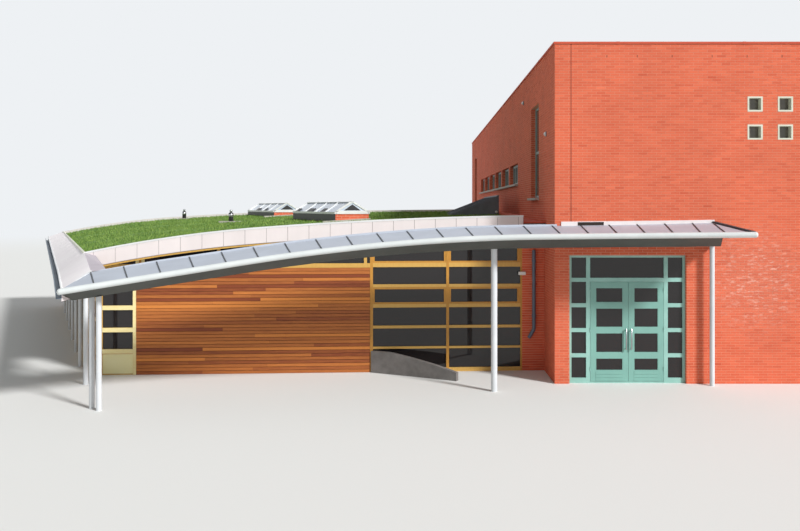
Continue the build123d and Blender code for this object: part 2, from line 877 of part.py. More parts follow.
def lean_to():
    """A wedge-shaped rooflight against the hall's side."""
    y0 = lean_to_front_y
    x0, x1 = lean_to_left_x, lean_to_right_x
    base = roof_z(x1, y0) - grass_drop
    outline = make_face(Polyline((x0, roof_left_z), (x1, roof_left_z), (x1, base + lean_to_rise),
                                 (x0, base), close=True))
    wedge = extrude(Plane.XZ * outline, amount=lean_to_depth, dir=(0, 1, 0))
    return (Pos(0, y0, 0) * wedge) - below_grass


def roof_vent(x, y):
    base = roof_z(x, y) - grass_drop
    half = vent_slab / 2
    low = base + vent_slab_t
    slab = box(x - half, x + half, y - half, y + half, base - grass_t, low) - below_grass
    stack = post(x, y, low, low + vent_h, vent_r)
    cap = post(x, y, low + vent_h, low + vent_h + vent_cap_t, vent_cap_r)
    return slab + stack + cap


def roof_fittings():
    kerbs = []
    lights = []
    for place in ridge_light_places:
        kerb, light = ridge_light(*place)
        kerbs.append(kerb)
        lights.append(light)
    vents = [roof_vent(x, y) for x, y in vent_places]
    return {"rooflight_kerbs": kerbs, "rooflight_glass": lights,
            "lean_to_rooflight": lean_to(), "roof_vents": vents}


# Garden wall and downpipe

def garden_wall():
    """A low curved wall whose top falls away from the facade."""
    start = (garden_start_x, facade_y(garden_start_x))
    line = ThreePointArc(start, garden_middle, garden_end)
    face = make_face(offset(line, garden_t / 2, side=Side.BOTH))
    wall = extrude(face, amount=garden_high, dir=(0, 0, 1))
    fall_x = start[0] + (garden_end[0] - start[0]) * garden_level_share
    end_x = garden_end[0] + garden_t
    over = garden_high + garden_t
    fall = make_face(Polyline((fall_x, garden_high), (end_x, garden_low), (end_x, over),
                              (fall_x, over), close=True))
    wall = wall - extrude(Plane.XZ * fall, amount=TALL, dir=(0, 1, 0), both=True)
    return wall - on_facade(box(0, wing_length, -seat_gap, TALL, -1, TALL))


def downpipe():
    y = facade_y(pipe_x) - pipe_r - pipe_stand_off
    pipe = post(pipe_x, y, pipe_foot, pipe_top, pipe_r)
    bend = Pos(pipe_x, y, pipe_foot) * Rot(0, shoe_turn, 0)
    pipe = pipe + bend * Pos(0, 0, -shoe_length / 2) * Cylinder(pipe_r, shoe_length)
    x0, x1 = pipe_x - pipe_r / 2, pipe_x + pipe_r / 2
    for z in bracket_levels:
        pipe = pipe + box(x0, x1, y, facade_y(x0) - seat_gap, z, z + bracket_h)
    return pipe


def all_nodes():
    nodes = hall_body()
    nodes.update(entrance())
    nodes.update(wing_body())
    nodes.update(wing_roof())
    nodes["left_verge"] = verge()
    nodes.update(canopy())
    nodes["canopy_posts"] = [canopy_post(middle_post_x, middle_post_y, middle_post_r),
                             canopy_post(right_post_x, right_post_y, post_r)]
    nodes["canopy_posts"] += [canopy_post(x, y, post_r) for x, y in corner_post_places]
    nodes["colonnade_posts"] = verge_posts(nodes["left_verge"])
    nodes.update(roof_fittings())
    nodes["garden_wall"] = garden_wall()
    nodes["downpipe"] = downpipe()
    return nodes


def as_shape(value):
    """One shape from a solid or from a list of separate solids."""
    if isinstance(value, (list, tuple)):
        solids = [s for item in value for s in item.solids()]
        return Compound(children=solids) if len(solids) > 1 else solids[0]
    solids = value.solids()
    return solids[0] if len(solids) == 1 else Compound(children=list(solids))


def main():
    nodes = {name: as_shape(value) for name, value in all_nodes().items()}
    boxes = [shape.bounding_box() for shape in nodes.values()]
    low_x = min(b.min.X for b in boxes)
    high_x = max(b.max.X for b in boxes)
    low_y = min(b.min.Y for b in boxes)
    high_y = max(b.max.Y for b in boxes)
    to_middle = Pos(-(low_x + high_x) / 2, -(low_y + high_y) / 2, 0)
    os.makedirs("parts", exist_ok=True)
    for name, shape in nodes.items():
        export_step(to_middle * shape, f"parts/{name}.step")


main()
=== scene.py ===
"""Childcare centre: brickwork, boards, glazing bars, turf, sheet metal seams and finishes
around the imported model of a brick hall, a glazed wing under a grass roof and a curved canopy.

Lengths are metres. Places are written on the site plan: its origin is the hall's outer
front left corner, x runs right along the hall's front, y away from the visitor and z up.
Every piece is moved from there into the frame by the hall's own corner in the model.
"""
import math

import bpy
import numpy as np
from bpy.props import FloatProperty, FloatVectorProperty, IntProperty, PointerProperty
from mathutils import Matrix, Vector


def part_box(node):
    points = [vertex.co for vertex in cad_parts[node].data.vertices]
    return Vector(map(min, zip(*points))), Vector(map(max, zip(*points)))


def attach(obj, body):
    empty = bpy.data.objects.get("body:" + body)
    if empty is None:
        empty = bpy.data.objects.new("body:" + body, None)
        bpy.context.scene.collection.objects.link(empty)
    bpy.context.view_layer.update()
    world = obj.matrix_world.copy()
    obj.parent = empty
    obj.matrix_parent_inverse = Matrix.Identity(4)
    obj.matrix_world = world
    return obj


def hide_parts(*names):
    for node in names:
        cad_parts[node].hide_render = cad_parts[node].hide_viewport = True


bl_info = {
    "name": "Childcare Centre",
    "version": (1, 0, 0),
    "blender": (4, 5, 0),
    "location": "View3D > Sidebar > Centre",
    "description": "Dresses the packed childcare centre with brickwork, boards, roof and canopy",
    "category": "Object",
}

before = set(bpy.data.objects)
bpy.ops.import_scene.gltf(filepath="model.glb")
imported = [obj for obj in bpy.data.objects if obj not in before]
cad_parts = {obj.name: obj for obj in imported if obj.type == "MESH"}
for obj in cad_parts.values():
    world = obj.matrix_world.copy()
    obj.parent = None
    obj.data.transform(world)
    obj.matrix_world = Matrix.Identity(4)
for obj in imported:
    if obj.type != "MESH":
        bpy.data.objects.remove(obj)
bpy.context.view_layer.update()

corner_low, corner_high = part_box("hall_front_pier")
SITE = np.array(corner_low)
UP = np.array([0.0, 0.0, 1.0])

# Hall
HALL_WIDTH = 10.25
HALL_DEPTH = 31.0
WALL_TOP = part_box("hall_front_upper_wall")[1].z
HALL_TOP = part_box("hall_end_copings")[1].z
WALL_T = corner_high.y - corner_low.y
SCREEN_X = (corner_high.x - corner_low.x, corner_high.x - corner_low.x + 2.78)
SCREEN_HEAD = corner_high.z
SCREEN_Y = 0.09
SQUARES = [(x, z) for x in (4.58, 5.30) for z in (5.80, 6.467)]
SQUARE_SIZE = 0.36
TALL_WINDOWS = [(2.6, 4.15), (26.85, 28.4)]
TALL_SILL, TALL_HEAD = 4.45, 7.0
STRIPS = [(7.35 + 2.77 * i, 7.35 + 2.77 * i + 2.42) for i in range(6)]
STRIP_SILL, STRIP_HEAD = 4.95, 5.63
REVEAL = 0.12
# Middle of the pale patchy blotch on the front wall, right of the entrance
PALE_PATCH = np.array([4.8, 0.0, 2.45])

# Wing: the line of its front facade and of its swept left side
CORNER = np.array([-11.16, 1.0, 0.0])
FACADE_TURN = math.radians(3.23)
FACADE_SLOPE = math.tan(FACADE_TURN)
SWEEP = math.tan(math.radians(25))
WING_BACK = 15.7
BAY_END, CLADDING_END, GLAZING_END, FACADE_END = 0.858, 6.70, 10.6, 11.178
CAP_LOW = 2.66
FRAME_T, PANE_V = 0.12, 0.046
ROOF_LEFT, ROOF_KNEE, ROOF_HALL = (-11.44, 3.085), (-7.1, 3.69), (0.0, 3.985)
ROOF_SLOPE, ROOF_RISE = 0.010, 0.004
OVERHANG = 0.35
ROOF_FRONT = CORNER[1] + FACADE_SLOPE * (ROOF_LEFT[0] - CORNER[0]) - OVERHANG
GRASS_DROP, GRASS_T, DECK_LOW = 0.10, 0.10, 0.42
BAND_T, BAND_H = 0.08, 0.40
GUTTER_X, KERB_X = -0.587, -0.667
VERGE_RUN, VERGE_FASCIA, VERGE_BACK = 0.64, 0.20, 2.916

# Canopy
CANOPY_CENTRE = np.array([-0.40, -28.75])
NOSE_LINE, NOSE_R, ZINC_T = 27.28, 0.065, 0.04
ZINC_FALL = math.tan(math.radians(6.5))
# Its seams stand at even shares of the arc, moved so that the middle bays are widest
BAY_SHARES = np.arange(24) / 23
BAY_MIDDLE = 1 - 2 * BAY_SHARES
BAY_BULGE = BAY_SHARES * (1 - BAY_SHARES) * (0.064 - 0.076 * BAY_MIDDLE - 0.022 * BAY_MIDDLE ** 2)
CANOPY_ANGLES = np.radians(-21.28 + 30.68 * (BAY_SHARES + BAY_BULGE))
ZINC_END = np.array([[3.80, 0.0], [4.06, -1.84]])
BODY_END = np.array([[3.85, 0.0], [3.36, -1.75]])
SOFFIT_DROP, SOFFIT_START = 0.27, 0.56
# Its nose rises gently up to the right of the crest and bends down to the left of it
CREST_X, CREST_Z, CREST_SLOPE = -0.56, 3.545, 0.012
BEND_RUN, BEND_R = 6.4, 46.5
LAST_SEAM = math.radians(8.08)

# Rooflights: corners, size across and along, heights of foot, eave and ridge
RIDGE_LIGHTS = [(-5.56, 3.40), (-8.65, 11.20)]
LIGHT_TURN = math.radians(25)
# Each rooflight's openings: middle along it, half length
LIGHT_SLOTS = [((1.33, 0.15), (2.56, 0.26), (3.86, 0.11)), ((1.59, 0.11), (2.76, 0.21))]
LIGHT_W, LIGHT_L = 1.0, 4.1
LIGHT_FOOT, LIGHT_EAVE, LIGHT_RIDGE = 3.80, 4.005, 4.345
LEAN_X, LEAN_Y, LEAN_RISE = (-2.30, KERB_X), (6.88, 12.20), 0.624
# Vents: place and half width of the slab
VENTS = [(-9.5, 7.9, 0.36), (-13.0, 14.7, 0.21)]


def linear(hex_code):
    """sRGB hex to linear colour: a channel below 0.04045 is divided by 12.92, and above
    it is ((c + 0.055) / 1.055) to the power 2.4."""
    channels = [int(hex_code[i:i + 2], 16) / 255 for i in (1, 3, 5)]
    return tuple(c / 12.92 if c <= 0.04045 else ((c + 0.055) / 1.055) ** 2.4
                 for c in channels) + (1.0,)


def length(name, description, default):
    """A length that the panel lists."""
    return FloatProperty(name=name, description=description, default=default, unit="LENGTH")


def tint(name, description, hex_code):
    """A colour that the panel lists."""
    return FloatVectorProperty(name=name, description=description, subtype="COLOR", size=4,
                               default=linear(hex_code))


class CentreSizes(bpy.types.PropertyGroup):
    """Sizes of the building's repeated small parts."""

    brick_pitch: length("Brick pitch", "A brick's length with its joint", 0.22)
    course: length("Course", "A brick's height with its joint", 0.0625)
    joint: length("Mortar joint", "Width of the mortar joint", 0.010)
    brick_proud: length("Brick proud", "Brick face before the mortar", 0.004)
    board_pitch: length("Board pitch", "A cedar board's height and gap", 0.0831)
    board_proud: length("Board thickness", "Cedar boards before the wall", 0.018)
    panel_pitch: length("Band panel", "Length of a panel of the roof band", 0.525)
    welt_pitch: length("Verge welt", "Distance between the verge's welts", 1.2)
    seam_width: length("Seam width", "Width of a standing seam", 0.024)
    seam_height: length("Seam height", "Height of a standing seam", 0.014)
    glazing_bar: length("Glazing bar", "Width of a rooflight's bar", 0.10)
    tuft_height: length("Tuft height", "Height of the tallest tufts of grass", 0.11)
    tuft_count: IntProperty(name="Tufts", description="Number of tufts of grass on the roof",
                            default=48000, min=0)


class CentreColours(bpy.types.PropertyGroup):
    """Colours of the building's main finishes."""

    brick_dark: tint("Brick dark", "Darkest facing brick", "#c85434")
    brick_light: tint("Brick light", "Lightest facing brick", "#e87450")
    mortar: tint("Mortar", "Mortar between the bricks", "#e9a68c")
    cedar_dark: tint("Cedar dark", "Darkest cedar board", "#86401f")
    cedar_light: tint("Cedar light", "Lightest cedar board", "#d9863c")
    timber: tint("Yellow timber", "Stained softwood frames", "#deb05a")
    sea_green: tint("Sea green", "Paint of the entrance", "#84b6aa")
    zinc: tint("Zinc", "Rolled zinc of the canopy", "#b8bfcb")
    pale_sheet: tint("Pale sheet", "Coated sheet of the roof's edges", "#f1e8e6")
    grass: tint("Grass", "Mid tone of the grass", "#6e8f40")
    floor: tint("Floor", "Studio floor", "#e6e6e3")


# Nodes and finishes

def add(tree, kind, inputs=None, stops=None, **settings):
    """Adds one shader node with its settings. A socket given as an input is linked, a node by
    its first socket, and anything else is that input's value; stops are places and colours
    along a ramp."""
    made = tree.nodes.new(f"ShaderNode{kind}")
    for key, value in settings.items():
        setattr(made, key, value)
    for key, value in (inputs or {}).items():
        if isinstance(value, bpy.types.Node):
            value = value.outputs[0]
        if isinstance(value, bpy.types.NodeSocket):
            tree.links.new(value, made.inputs[key])
        else:
            made.inputs[key].default_value = value
    for i, (place, colour) in enumerate(stops or []):
        points = made.color_ramp.elements
        point = points[i] if i < 2 else points.new(place)
        point.position, point.color = place, colour
    return made


def place_of(tree):
    """The place of a point in the frame."""
    return add(tree, "TexCoord").outputs["Object"]


def tone_of(tree):
    """The tone that a piece keeps for each of its points."""
    return add(tree, "Attribute", attribute_name="tone").outputs["Fac"]


def spread(tree, value, low, high, to_low=0.0, to_high=1.0, kind="LINEAR"):
    """A value that runs from low to high, made to run between two others."""
    return add(tree, "MapRange", {"Value": value, "From Min": low, "From Max": high,
                                  "To Min": to_low, "To Max": to_high}, interpolation_type=kind)


def finish(name, roughness, metallic=0.0, **sockets):
    """A new material by that name, its node tree and its shader."""
    made = bpy.data.materials.new(name)
    made.use_nodes = True
    shader = made.node_tree.nodes["Principled BSDF"]
    shader.inputs["Roughness"].default_value = roughness
    shader.inputs["Metallic"].default_value = metallic
    for key, value in sockets.items():
        shader.inputs[key.replace("_", " ")].default_value = value
    return made, made.node_tree, shader


def roughen(tree, shader, height, distance, strength=1.0):
    """Gives a finish a relief: its height, from 0 to 1, times the distance."""
    bump = add(tree, "Bump", {"Height": height, "Distance": distance, "Strength": strength})
    tree.links.new(bump.outputs[0], shader.inputs["Normal"])


def mottled(name, dark, light, grain, roughness, relief=0.0, stretch=(1, 1, 1), own_share=0.0,
            metallic=0.0, **sockets):
    """A finish whose colour drifts from dark to light: share = noise(place / grain), mixed
    with own_share of the piece's own tone. The height follows the same noise, up to relief."""
    made, tree, shader = finish(name, roughness, metallic, **sockets)
    scaled = add(tree, "Mapping", {"Vector": place_of(tree), "Scale": stretch})
    noise = add(tree, "TexNoise", {"Vector": scaled, "Scale": 1 / grain, "Detail": 5.0,
                                   "Roughness": 0.6})
    share = noise
    if own_share:
        share = add(tree, "Mix", {0: own_share, 2: noise, 3: tone_of(tree)})
    dark, light = (linear(c) if isinstance(c, str) else c[:] for c in (dark, light))
    ramp = add(tree, "ValToRGB", {"Fac": share}, stops=[(0.3, dark), (0.7, light)])
    tree.links.new(ramp.outputs[0], shader.inputs["Base Color"])
    if relief:
        roughen(tree, shader, noise, relief, 0.6)
    return made


def tone_drift_and_pale_patch(tree, colour):
    """The brick's colour with slow drifts of tone and a pale patchy blotch on the front wall right
    of the entrance: blotch = (1 - distance from its middle) * noise."""
    place = place_of(tree)
    drift = add(tree, "TexNoise", {"Vector": place, "Scale": 0.9, "Detail": 4.0})
    level = spread(tree, drift, 0.3, 0.7, 0.93, 1.05)
    shaded = add(tree, "VectorMath", {0: colour, "Scale": level}, operation="SCALE")
    local = add(tree, "VectorMath", {0: place, 1: tuple(SITE + PALE_PATCH)}, operation="SUBTRACT")
    wide = add(tree, "VectorMath", {0: local, 1: (0.75, 2.5, 0.75)}, operation="MULTIPLY")
    far = add(tree, "VectorMath", {0: wide}, operation="LENGTH").outputs["Value"]
    fade = spread(tree, far, 0.1, 1.3, 1.0, 0.0, "SMOOTHSTEP")
    flat = add(tree, "Mapping", {"Vector": place, "Scale": (1, 1, 3.2)})
    patch_noise = add(tree, "TexNoise", {"Vector": flat, "Scale": 8.0, "Detail": 3.0})
    patchy = spread(tree, patch_noise, 0.54, 0.70, 0.06, 0.70)
    amount = add(tree, "Math", {0: fade, 1: patchy}, operation="MULTIPLY")
    return add(tree, "Mix", {0: amount, 6: shaded, 7: linear("#f0c2b0")},
               data_type="RGBA").outputs[2]


def brick_tones(tree, share, look):
    """Fired brick colour for a share from 0 to 1."""
    middle = tuple((a + b) / 2 for a, b in zip(look.brick_dark, look.brick_light))
    return add(tree, "ValToRGB", {"Fac": share},
               stops=[(0.0, look.brick_dark[:]), (1.0, look.brick_light[:]), (0.45, middle)])


def facing_brick(look):
    """Wire-cut facing brick: sandy and matt, each brick fired to its own red-orange, its
    face slightly rough."""
    made, tree, shader = finish("wire_cut_facing_brick", 0.85)
    ramp = brick_tones(tree, tone_of(tree), look)
    tree.links.new(tone_drift_and_pale_patch(tree, ramp), shader.inputs["Base Color"])
    sand = add(tree, "TexNoise", {"Vector": place_of(tree), "Scale": 160.0, "Detail": 3.0})
    roughen(tree, shader, sand, 0.002)
    return made


def brick_wall(look, sizes):
    """Brickwork in stretcher bond where no brick is laid as a piece, such as reveals and
    inner faces: the same courses, drawn along x or y as the wall faces, in lime mortar."""
    made, tree, shader = finish("stretcher_bond_brickwork", 0.88)
    local = add(tree, "VectorMath", {0: place_of(tree), 1: tuple(SITE)}, operation="SUBTRACT")
    x, y, z = add(tree, "SeparateXYZ", {0: local}).outputs
    facing = add(tree, "SeparateXYZ", {0: add(tree, "NewGeometry").outputs["Normal"]})
    sideways = add(tree, "Math", {0: facing}, operation="ABSOLUTE")
    is_side = add(tree, "Math", {0: sideways, 1: 0.7}, operation="GREATER_THAN")
    along = add(tree, "Mix", {0: is_side, 2: x, 3: y})
    bond = add(tree, "TexBrick",
               {"Vector": add(tree, "CombineXYZ", {0: along, 1: z}), "Color1": (0, 0, 0, 1),
                "Color2": (1, 1, 1, 1), "Mortar": (0.5, 0.5, 0.5, 1), "Scale": 1.0,
                "Mortar Size": sizes.joint / 2, "Mortar Smooth": 0.1, "Bias": 0.0,
                "Brick Width": sizes.brick_pitch, "Row Height": sizes.course},
               offset=0.5, offset_frequency=2, squash=1.0, squash_frequency=2)
    in_joint = bond.outputs["Fac"]
    ramp = brick_tones(tree, spread(tree, bond, 0.0, 1.0, 0.3, 0.7), look)
    pointed = add(tree, "Mix", {0: in_joint, 6: ramp, 7: look.mortar[:]}, data_type="RGBA")
    tree.links.new(tone_drift_and_pale_patch(tree, pointed.outputs[2]), shader.inputs["Base Color"])
    raised = add(tree, "Math", {0: 1.0, 1: in_joint}, operation="SUBTRACT")
    roughen(tree, shader, raised, 0.004)
    return made


def turf_finish(look):
    """Grass: leaf green that drifts over the roof to dry yellow and dark clumps, each tuft
    with its own tone."""
    made, tree, shader = finish("rough_cut_turf", 0.9)
    clumps = add(tree, "TexNoise", {"Vector": place_of(tree), "Scale": 1.3, "Detail": 5.0})
    share = add(tree, "Mix", {0: 0.45, 2: clumps, 3: tone_of(tree)})
    ramp = add(tree, "ValToRGB", {"Fac": share},
               stops=[(0.2, linear("#496b2c")), (0.85, linear("#9aad58")), (0.5, look.grass[:])])
    tree.links.new(ramp.outputs[0], shader.inputs["Base Color"])
    return made


def float_glass(name, hex_code, clearness, roughness):
    """Float glass: a body colour, part of the light let through and a clean sheen."""
    return finish(name, roughness, Base_Color=linear(hex_code), IOR=1.5,
                  Transmission_Weight=clearness)[0]


def shade(colour, share):
    """A colour darkened to a share of itself."""
    return tuple(share * c for c in colour[:3]) + (1.0,)


def make_finishes(look, sizes):
    """Every finish of the building, by its maker's name."""
    satin, upright_grain = 0.45, (3, 3, 0.3)
    made = [
        facing_brick(look), brick_wall(look, sizes), turf_finish(look),
        # Sawn cedar, oiled: long grain, each board its own tone
        mottled("sawn_oiled_cedar", look.cedar_dark, look.cedar_light, 0.05, 0.62, 0.0015,
                (0.12, 1, 3), own_share=0.62),
        # Dark breather sheet behind the boards and in the weep slots, and a dark strip on the
        # canopy's flashing that is painted shadow of the gap under it
        mottled("black_breather_sheet_and_painted_shadow", "#241a16", "#33261f", 0.2, 0.9),
        # Stained softwood: smooth, slightly satin, faint upright grain
        mottled("yellow_stained_softwood", shade(look.timber, 0.82), look.timber, 0.04, satin,
                0.0006, upright_grain),
        # The same softwood, darker and more golden, on posts, opening lights and the packer:
        # partly a deeper golden stain, partly painted shade; it also draws the painted shadow line
        # under the bay's rail
        mottled("golden_softwood_and_painted_shade", "#b98030", "#d0983e", 0.04, satin, 0.0006,
                upright_grain),
        # Painted panel of the bay: smooth and flat
        mottled("cream_yellow_panel", "#f7eeb0", "#fcf4c0", 0.6, 0.5),
        # The yellow stained softwood of the bay and the clerestory studs, painted pale cream as
        # painted sunlight, with level grain
        mottled("painted_sunlit_softwood", "#f0dc94", "#f9ecb6", 0.05, 0.5, 0.0005, (0.3, 3, 3)),
        # Gloss paint on the screen's fixed aluminium, a paler mix of the same green
        mottled("pale_green_gloss_paint", "#8dbcb1", "#9fcdc2", 0.5, 0.35),
        # Gloss paint on the door leaves
        mottled("sea_green_gloss_paint", shade(look.sea_green, 0.9), look.sea_green, 0.5, 0.35),
        # Powder coat: even, fine satin
        mottled("cream_powder_coat", "#cbccb8", "#d8d9c8", 0.4, satin),
        mottled("grey_green_powder_coat", "#80918e", "#91a19e", 0.4, satin),
        # Dressed stone of sills, slabs and edgings: pale, a little stained
        mottled("cast_stone", "#a9a49b", "#c6c2b8", 0.12, 0.8, 0.001),
        # Rolled zinc: blue-grey with soft clouds, half dull
        mottled("rolled_zinc", shade(look.zinc, 0.86), look.zinc, 0.8, 0.48, 0.0004),
        # Zinc of the corner sheet beside the verge, painted darker grey-pink for the shade that
        # falls on it: painted shade
        mottled("corner_sheet_painted_shade", "#b3aab2", "#c3bac1", 0.8, 0.55),
        # The dark edge and shadow gap of a standing seam
        mottled("seam_edge_zinc", "#33373c", "#44484d", 0.3, 0.6),
        # Pale coated steel sheet with slight dirt runs
        mottled("pale_coated_sheet", shade(look.pale_sheet, 0.92), look.pale_sheet, 0.7, 0.4,
                0.0004, (1, 1, 0.4)),
        # White enamelled steel tube
        mottled("white_enamelled_steel", "#e3e4e4", "#eff0ef", 0.6, 0.3),
        # Pale grey enamelled tube of the posts
        mottled("pale_grey_enamelled_tube", "#d0d3d6", "#dcdfe1", 0.6, 0.3),
        # The canopy's nose: pressed aluminium, milled finish with a soft sheen
        mottled("pale_nose_aluminium", "#ccd1d0", "#d8dcdb", 0.5, 0.34),
        # White coated sheet of the verge: bright, almost flat
        mottled("white_coated_verge_sheet", "#f6eef0", "#fdf7f7", 0.9, satin),
        # Brick red coated sheet of the wall copings and the side ledge
        mottled("brick_red_coated_sheet", "#bb482e", "#ca573b", 0.8, 0.75),
        # Lead-grey sheet of the lamps' backs and the rooflight against the hall
        mottled("lead_grey_sheet", "#565b60", "#6b7076", 0.4, 0.5, 0.0006),
        # Blue-grey paint of the verge's gutter
        mottled("blue_grey_gutter_paint", "#5a6a7a", "#6a7a8a", 0.5, 0.5),
        # Grey sheet behind the joints of the band's panels
        mottled("grey_joint_sheet", "#a39b9a", "#b1a9a8", 0.5, 0.7),
        # Mineral felt: coarse grit, matt
        mottled("mineral_felt", "#575553", "#7a7875", 0.02, 0.95, 0.002),
        # Dark fibre-cement soffit board
        mottled("dark_soffit_board", "#464945", "#535652", 0.6, 0.7),
        # Cast concrete: cloudy, pinholed
        mottled("cast_concrete", "#6c6865", "#827e7b", 0.25, 0.85, 0.002),
        # Power-floated floor
        mottled("floated_floor_screed", "#8f8b85", "#a39f98", 0.6, 0.6),
        # Grey moulded rainwater pipe
        mottled("grey_rainwater_plastic", "#53606f", "#616e7d", 0.3, 0.4),
        # Black of the rooflights' openings; on the vent pipes it is painted dark reflection of
        # shiny metal, and on the rooflights' left sides it is painted shade
        mottled("black_openings_painted_shade_and_reflection", "#242426", "#313134", 0.2, 0.5),
        # Mastic in the movement joint
        mottled("brown_mastic", "#8f3d2a", "#9c4832", 0.1, 0.8),
        # Brushed stainless steel
        mottled("brushed_stainless_steel", "#a7a9aa", "#c3c5c6", 0.01, 0.3,
                stretch=(1, 1, 0.05), metallic=1.0),
        # Opal lamp glass
        mottled("opal_lamp_glass", "#dcdcd6", "#f2f2ee", 0.1, 0.25),
        # Float glass high in the hall, painted paler warm grey for the sky and trees that it
        # mirrors: painted reflection
        float_glass("float_glass_painted_reflection", "#6f6a62", 0.2, 0.05),
        # Float glass over a dim room
        float_glass("grey_float_glass", "#2c2829", 0.35, 0.03),
        # Patent glazing, painted pale blue-white for the sky that it mirrors: painted reflection
        mottled("patent_glazing_painted_sky_reflection", "#aebdd4", "#dce4f0", 1.4, 0.12, IOR=1.5),
    ]
    return {material.name: material for material in made}


# Shapes

BLOCK_CORNERS = np.array([[0, 0, 0], [1, 0, 0], [1, 1, 0], [0, 1, 0],
                          [0, 0, 1], [1, 0, 1], [1, 1, 1], [0, 1, 1]])
BLOCK_SIDES = {"bottom": [0, 3, 2, 1], "top": [4, 5, 6, 7], "front": [0, 1, 5, 4],
               "right": [1, 2, 6, 5], "back": [2, 3, 7, 6], "left": [3, 0, 4, 7]}


def places(x, y, z):
    """Points from their three coordinates, each a number or a row of them."""
    return np.stack(np.broadcast_arrays(*(np.asarray(v, float) for v in (x, y, z))), axis=-1)


def circle(count, radius=1.0):
    """Corners of a circle, in pairs: radius (cos t, sin t)."""
    turn = np.linspace(0, 2 * math.pi, count, endpoint=False)
    return radius * np.stack([np.cos(turn), np.sin(turn)], axis=1)


def hexes(corners, hidden=()):
    """Faces of N eight-cornered solids, corners N x 8 x 3 in the order of BLOCK_CORNERS,
    without the sides that stay against the wall behind."""
    corners = np.asarray(corners, float).reshape(-1, 8, 3)
    sides = np.array([quad for side, quad in BLOCK_SIDES.items() if side not in hidden])
    faces = sides[None] + 8 * np.arange(len(corners))[:, None, None]
    return corners.reshape(-1, 3), faces.reshape(-1, 4)


def blocks(low, high, hidden=()):
    """Square blocks between rows of low and high corners: low + pick * (high - low)."""
    low, high = np.atleast_2d(low).astype(float), np.atleast_2d(high).astype(float)
    return hexes(low[:, None] + BLOCK_CORNERS[None] * (high - low)[:, None], hidden)


def panels(rows, near, far):
    """Upright blocks from rows of left, right, low and high, between two depths."""
    left, right, low, high = np.asarray(rows, float).T
    return blocks(places(left, near, low), places(right, far, high))


def beams(starts, ends, across, up):
    """Bars from start to end points, with half their width along across and their height
    along up: start or end + pick * across + pick * up."""
    starts, ends = np.atleast_2d(starts), np.atleast_2d(ends)
    across, up = np.broadcast_to(across, starts.shape), np.broadcast_to(up, starts.shape)
    ring = [starts - across, starts + across, ends + across, ends - across]
    return hexes(np.stack(ring + [p + up for p in ring], axis=1))


def tube_faces(rings, corners):
    """Sides and ends of a tube of rings that have the same number of corners."""
    i, j = np.meshgrid(np.arange(rings - 1), np.arange(corners), indexing="ij")
    ahead = (j + 1) % corners
    sides = np.stack([i * corners + j, i * corners + ahead, (i + 1) * corners + ahead,
                      (i + 1) * corners + j], axis=-1).reshape(-1, 4)
    end = np.arange(corners)[None]
    return [sides, end[:, ::-1], (rings - 1) * corners + end]


def carried(profile, spine, sides, ups):
    """A closed profile of (side, up) pairs carried along a spine of points:
    point(i, j) = spine(i) + side(j) * sides(i) + up(j) * ups(i)."""
    profile, spine = np.asarray(profile, float), np.asarray(spine, float)
    sides, ups = np.broadcast_to(sides, spine.shape), np.broadcast_to(ups, spine.shape)
    points = (spine[:, None] + profile[None, :, 0, None] * sides[:, None]
              + profile[None, :, 1, None] * ups[:, None])
    return points.reshape(-1, 3), tube_faces(len(spine), len(profile))


def turned(x, y, rows, corners=20):
    """A round upright piece from rows of height z and radius r: x + r cos t, y + r sin t."""
    z, r = np.array(rows, float).T[:, :, None]
    return carried(circle(corners), places(x, y, z[:, 0]), r * [1, 0, 0], r * [0, 1, 0])


def slab(top, bottom):
    """A closed sheet between two grids of points of the same shape, rows x columns x 3."""
    rows, columns = top.shape[:2]
    count = rows * columns
    i, j = np.meshgrid(np.arange(rows - 1), np.arange(columns - 1), indexing="ij")
    a = (i * columns + j).ravel()
    upper = np.stack([a, a + 1, a + columns + 1, a + columns], axis=1)
    lower = upper[:, ::-1] + count
    rim = np.concatenate([np.arange(columns), (np.arange(1, rows) + 1) * columns - 1,
                          count - 1 - np.arange(1, columns),
                          (rows - 1 - np.arange(1, rows)) * columns])[:2 * (rows + columns) - 4]
    ahead = np.roll(rim, -1)
    edge = np.stack([rim, rim + count, ahead + count, ahead], axis=1)
    return (np.concatenate([top.reshape(-1, 3), bottom.reshape(-1, 3)]),
            np.concatenate([upper, lower, edge]))


def domes(centres, radius, axis, rings=5, spokes=12):
    """Half balls on a wall: centre + r sin(a) (cos b, sin b) in the wall + r cos(a) outwards."""
    axis = np.asarray(axis, float)
    first = np.cross(axis, UP)
    a = np.linspace(math.pi / 2, 0.12, rings)[:, None, None]
    around = circle(spokes) @ np.array([first, np.cross(axis, first)])
    shape = radius * (np.sin(a) * around + np.cos(a) * axis).reshape(-1, 3)
    return joined(*[(np.asarray(c) + shape, tube_faces(rings, spokes)) for c in centres])


def joined(*parts):
    """One set of points and faces from several."""
    points, faces, count = [], [], 0
    for part_points, part_faces in parts:
        groups = part_faces if isinstance(part_faces, list) else [part_faces]
        faces += [np.asarray(group) + count for group in groups]
        points.append(part_points)
        count += len(part_points)
    return np.concatenate(points), faces


